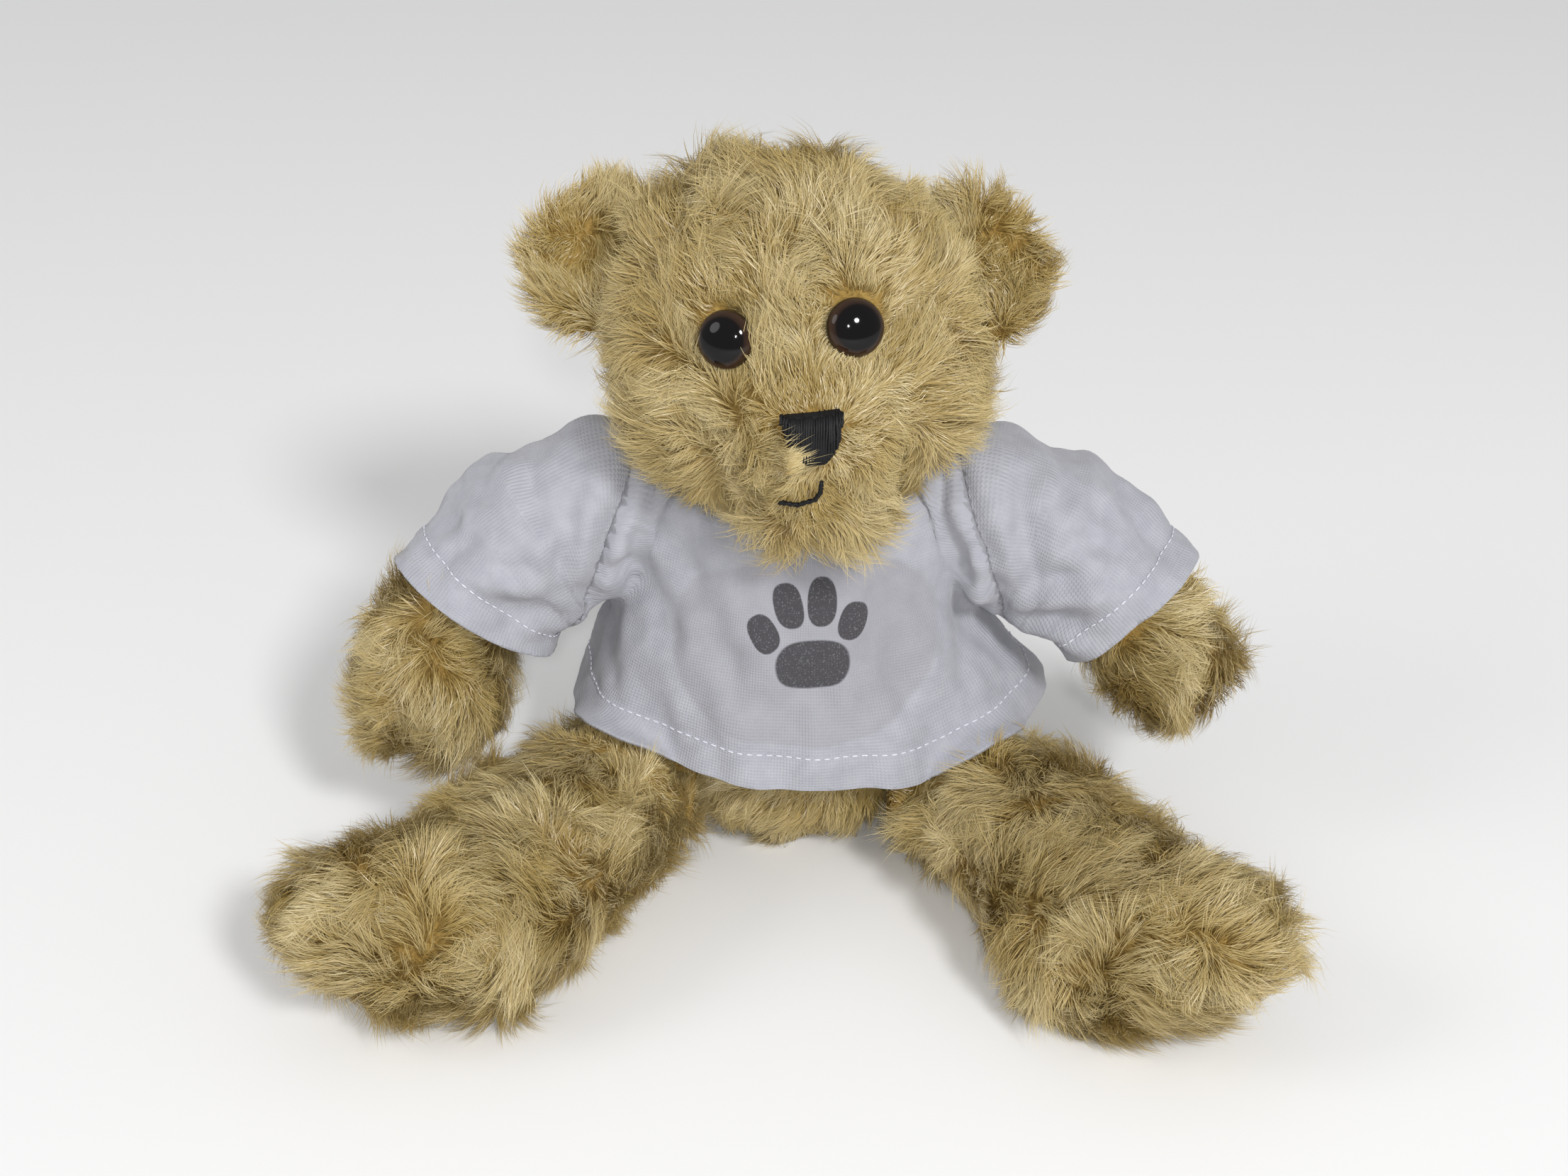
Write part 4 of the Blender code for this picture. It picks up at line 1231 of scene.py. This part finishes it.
def build_shirt(arm_lines, hems, legs, jersey, thread):
    garment = remeshed(shirt_solids(arm_lines, hems), voxel=1.15, smoothing=7)
    cut_garment(garment, arm_lines, hems)
    points, triangles = mesh_arrays(garment)
    normals = vertex_normals(points, triangles)
    skin = tree_of(points, triangles)
    knit_map(garment, points, arm_lines)
    edges = np.empty(len(garment.edges) * 2, np.int32)
    garment.edges.foreach_get("vertices", edges)
    settled = Drape(arm_lines, hems, legs, edges.reshape(-1, 2))(points, normals)
    garment.vertices.foreach_set("co", (settled * MM).reshape(-1))
    garment.update()

    def hem_row(name, centre, across, up, count, reach, body):
        """The stitches of a hem, where the rays from centre leave the cut cloth."""
        rays = circle(count, across, up)
        places, facing = ring_round(skin, np.tile(centre, (count, 1)), rays, reach)
        return stitches(name, carried(places, points, settled), facing, body, thread)

    body = cloth_part(garment, points, 0, "shirt_body_cloth", jersey)
    sleeves = {}
    for side, sign in SIDES.items():
        sleeves[side] = cloth_part(garment, points, sign, f"shirt_sleeve_{side}_cloth", jersey)
    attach(body, "torso")
    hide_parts("shirt_body")
    middle, across, up = np.array([(0.0, SHIRT_Y, BODY_CUT + HEM_BAND), (1, 0, 0), (0, 1, 0)])
    row = hem_row("shirt_hem_stitches", middle, across, up, count=240, reach=90, body="torso")
    for side, piece in sleeves.items():
        sign, line, arm = SIDES[side], arm_lines[side], f"arm_{side}"
        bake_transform(piece)
        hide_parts(f"shirt_sleeve_{side}")
        centres = at_arc(line, hems[side] - HEM_BAND + np.array([-2, 0, 2]))
        _, sides, ups = frames_along(centres)
        label = f"shirt_sleeve_{side}_stitches"
        row = hem_row(label, centres[1], sides[1], ups[1], count=120, reach=30, body=None)
        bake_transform(row)


def build_neckband(jersey):
    """The shirt's ribbed neckband."""
    low, high = node_box("shirt_neckband")
    middle, radius = (low + high) / 2, (high - low)[0] / 2
    count = 180
    turns = np.arange(count) * 2 * np.pi / count
    rib = 0.16 * np.cos(60 * turns)
    profile = ((0.9, -1.4), (1.7, 0.2), (1.3, 2.0), (0.3, 3.0), (-0.9, 2.6), (-1.2, 1.2), (-1.0, -1.0))
    rings = []
    for out, up in profile:
        size = radius + out + rib * (1 if out > 0 else 0.4)
        x, y = middle[0] + size * np.cos(turns), middle[1] + size * np.sin(turns)
        rings.append(np.stack([x, y, np.full(count, middle[2] + up)], axis=1))
    ring, step = np.meshgrid(np.arange(len(rings)), np.arange(count), indexing="ij")
    after, up = (step + 1) % count, (ring + 1) % len(rings) * count
    quads = np.stack([ring * count + step, ring * count + after, up + after, up + step], axis=-1)
    points = np.concatenate(rings)
    band = mesh_piece("shirt_neckband_rib", points, quads.reshape(-1, 4), "torso", jersey, "jersey")
    layer = band.data.uv_layers.new(name=KNIT_UV)
    corners = [vertex for face in band.data.polygons for vertex in face.vertices]
    where = [(0.019 * turns[index % count], 0.003 * (index // count)) for index in corners]
    layer.data.foreach_set("uv", np.array(where, np.float32).reshape(-1))
    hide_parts("shirt_neckband")


# The face


def eye_material():
    """A glossy safety eye, black in a ring of dark brown. Its map's v runs from the top to the rim."""
    material, tree, principled = shader("eye_plastic", roughness=0.07, specular=0.28)
    _, from_top = map_parts(tree, BAKE_UV)
    rings = [(0.0, (0.002, 0.002, 0.002)), (0.74, (0.003, 0.002, 0.002)), (0.82, (0.026, 0.013, 0.008))]
    rings += [(0.94, (0.042, 0.022, 0.012)), (1.0, (0.010, 0.006, 0.004))]
    tree.links.new(colour_ramp(tree, from_top, rings), principled.inputs["Base Color"])
    return material


def build_eye(side, material):
    """The eye's polished dome, on the CAD eye's own axis."""
    solid, _ = node_mesh(f"eye_{side}")
    washer = node_middle(f"eye_washer_{side}")
    middle = solid.mean(axis=0)
    axis = unit(middle - washer)
    reach = (solid - washer) @ axis
    off_axis = np.linalg.norm(solid - washer - reach[:, None] * axis, axis=1)
    radius = off_axis.max()
    rim = reach[off_axis > 0.97 * radius].mean()
    dome = reach.max() - rim
    side_way = unit(np.cross(axis, (0.0, 0.0, 1.0)))
    up = np.cross(side_way, axis)
    count = 64
    rings, reaches = [], []
    profile = [(math.cos(a), math.sin(a)) for a in np.radians(np.arange(86, -1, -5.375))]
    profile += [(0.99, -0.10), (0.93, -0.2), (0.6, -0.24)]
    for out, height in profile:
        centre = washer + axis * (rim + dome * height)
        rings.append(centre + radius * out * circle(count, side_way, up))
        reaches.append(out)
    ends = [washer + axis * (rim + dome), washer + axis * (rim - 0.26 * dome)]
    points = np.concatenate([*rings, ends])
    faces = grid_triangles(len(rings), count)
    eye = mesh_piece(f"eye_{side}_dome", points, faces, "head", material, "eye_plastic")
    from_top = np.concatenate([np.repeat(reaches, count), [0.0, 0.6]])
    layer = eye.data.uv_layers.new(name=BAKE_UV)
    corners = np.array([vertex for face in eye.data.polygons for vertex in face.vertices])
    columns = np.where(corners < len(rings) * count, (corners % count) / count, 0.5)
    where = np.stack([columns, from_top[corners]], axis=1)
    layer.data.foreach_set("uv", where.astype(np.float32).reshape(-1))
    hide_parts(f"eye_{side}")


def thread_tube(line, normals, radius, ply):
    """(points, triangles) of a thread lying along a line, with its two plies twisted round each other."""
    tangents = unit(np.gradient(line, axis=0))
    across = unit(np.cross(tangents, normals))
    up = np.cross(across, tangents)
    around = np.arange(8) * np.pi / 4
    twist = lengths_along(line) * ply
    rings = []
    for index in range(len(line)):
        size = radius * (1 + 0.22 * np.cos(2 * (around - twist[index])))
        if index in (0, len(line) - 1):
            size = size * 0.45
        rings.append(line[index] + size[:, None] * circle(8, across[index], up[index]))
    points = np.concatenate([*rings, line[:1], line[-1:]])
    return points, grid_triangles(len(line), 8)


def joined(parts):
    points, faces, offset = [], [], 0
    for part, triangles in parts:
        points.append(part)
        faces.append(triangles + offset)
        offset += len(part)
    return np.concatenate(points), np.concatenate(faces)


def build_nose(material):
    """A satin-stitched nose: threads side by side over a soft pad, from its ragged top to its narrow foot."""
    low, high = node_box("nose")
    tree = node_tree("nose")
    rng = np.random.default_rng(71)
    middle = (low + high) / 2
    half = (high - low)[0] / 2
    threads = []
    count = 25
    for number in range(count):
        x = middle[0] + (-1 + 2 * (number + 0.5) / count) * half * 0.985
        hits = []
        for z in np.linspace(low[2] - 0.5, high[2] + 0.5, 60):
            place, normal, _, _ = tree.ray_cast(Vector((x, low[1] - 20, z)), Vector((0, 1, 0)), 40)
            if place is not None:
                hits.append((np.array(place), np.array(normal)))
        if len(hits) < 4:
            continue
        line = np.array([hit[0] for hit in hits])
        facing = unit(np.array([hit[1] for hit in hits]))
        line[-1, 2] += rng.uniform(-0.1, 0.7)
        line[0, 2] -= rng.uniform(0.0, 0.3)
        keep = np.linspace(0, len(line) - 1, 9).round().astype(int)
        line, facing = line[keep], facing[keep]
        line = line + facing * (0.22 + rng.uniform(-0.05, 0.08))
        line[0] -= facing[0] * 0.9
        line[-1] -= facing[-1] * 0.9
        threads.append(thread_tube(line, facing, radius=0.36, ply=2.0))
    points, faces = joined(threads)
    nose = mesh_piece("nose_satin_stitch", points, faces, "head", material, "thread")
    pad = mesh_piece("nose_pad", *refined("nose"), "head", material, "thread")
    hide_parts("nose")
    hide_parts("nose")


def build_mouth(material):
    """One strand of black thread, down from the nose and round to the side."""
    solid, _ = node_mesh("mouth")
    start = solid[np.argmax(solid[:, 2])]
    order = np.argsort(np.linalg.norm(solid - start, axis=1))
    line = np.array([start] + [solid[part].mean(axis=0) for part in np.array_split(order, 14)])
    line = resampled(line, 0.5)
    for _ in range(3):
        line[1:-1] = (line[:-2] + 2 * line[1:-1] + line[2:]) / 4
    facing = unit(line - HEAD_MIDDLE)
    points, faces = thread_tube(line + facing * 0.35, facing, radius=0.48, ply=2.2)
    mouth = mesh_piece("mouth_thread", points, faces, "head", material, "thread")
    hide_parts("mouth")


def plastic_material(name, colour):
    material, tree, principled = shader(name, roughness=0.5)
    light = tuple(min(1.0, part * 1.12) for part in colour)
    shade = colour_ramp(tree, object_noise(tree, 500), [(0.3, colour), (0.7, light)])
    tree.links.new(shade, principled.inputs["Base Color"])
    bump(tree, principled, object_noise(tree, 3000), strength=0.2, distance=0.00005)
    return material


def finish_hidden_nodes():
    """Moulded plastic for the disc joints and the eye washers, which stay as the CAD made them."""
    joint = plastic_material("joint_plastic", (0.30, 0.21, 0.08))
    for name, node in frame["nodes"].items():
        if any(part in name for part in ("stud", "washer", "lock_ring")):
            node.data.materials.clear()
            node.data.materials.append(joint)


# The studio


def area_light(name, place, target, size, power):
    data = bpy.data.lights.new(name, "AREA")
    data.shape = "DISK"
    data.size = size
    data.energy = power
    light = placed(name, data)
    light.location = place
    light.rotation_mode = "QUATERNION"
    light.rotation_quaternion = (Vector(target) - Vector(place)).to_track_quat("-Z", "Y")


def build_studio():
    scene = bpy.context.scene
    scene.view_settings.view_transform = "Standard"
    world = bpy.data.worlds.new("studio")
    world.use_nodes = True
    background = world.node_tree.nodes["Background"]
    background.inputs["Color"].default_value = (1.0, 1.0, 1.0, 1)
    background.inputs["Strength"].default_value = 0.42
    scene.world = world
    material, _, _ = shader("paper", roughness=0.9, specular=0.1, colour=(0.90, 0.90, 0.90))
    mesh = bpy.data.meshes.new("floor")
    mesh.from_pydata([(-3, -3, 0), (3, -3, 0), (3, 3, 0), (-3, 3, 0)], [], [(0, 1, 2, 3)])
    mesh.materials.append(material)
    floor = placed("floor", mesh)
    floor.location.z = -0.0004  # just under the lowest fibres
    target = (0, -0.03, 0.08)
    area_light("key", (0.80, -1.50, 1.60), target, size=0.42, power=27.0)
    area_light("flash", (0.03, -0.90, 0.64), target, size=0.06, power=3.0)
    area_light("fill", (-1.5, -0.5, 1.2), target, size=0.9, power=6.0)


def build_camera():
    """Looking down on the sitting bear from in front, from about half a metre."""
    aim = Vector((-2.5, -31.5, 80)) * MM
    elevation, roll, distance = math.radians(32), math.radians(1.0), 0.520
    back = Vector((0, -math.cos(elevation), math.sin(elevation)))
    data = bpy.data.cameras.new("camera")
    data.sensor_width = 36
    data.lens = 55.7
    data.clip_start = 0.05
    camera = placed("camera", data)
    camera.location = aim + back * distance
    camera.rotation_mode = "QUATERNION"
    facing = (-back).to_track_quat("-Z", "Y")
    camera.rotation_quaternion = facing @ Matrix.Rotation(roll, 3, "Z").to_quaternion()
    bpy.context.scene.camera = camera


def main():
    build_studio()
    build_camera()
    fibre, ground = fibre_material(), backing_material()
    jersey = jersey_material()
    arm_lines, hems = {}, {}
    for side in SIDES:
        skin, sleeve = node_mesh(f"arm_{side}_skin")[0], node_mesh(f"shirt_sleeve_{side}")[0]
        arm_lines[side] = centre_line(skin, joint_point(f"arm_{side}"), steps=9, margin=14)
        hems[side] = arc_of(sleeve, arm_lines[side])[0].max() - 1.0
    build_head(fibre, ground)
    build_torso(fibre, ground)
    for number, (side, line) in enumerate(arm_lines.items()):
        sleeve = bare_under_sleeve(line, hems[side])
        build_limb(f"arm_{side}", fibre, ground, seed=50 + number, bare=sleeve, clear=14)
        build_limb(f"leg_{side}", fibre, ground, seed=54 + number, bare=under_hem, clear=9)
    eye = eye_material()
    for side in SIDES:
        build_eye(side, eye)
    black = thread_material("black_thread", (0.003, 0.003, 0.004), roughness=0.55)
    build_nose(black)
    build_mouth(black)
    legs = [tree_of(*LIMB_SKINS[f"leg_{side}"]) for side in SIDES]
    build_shirt(arm_lines, hems, legs, jersey, thread_material("white_thread", (0.62, 0.62, 0.68)))
    build_neckband(jersey)
    finish_hidden_nodes()


main()
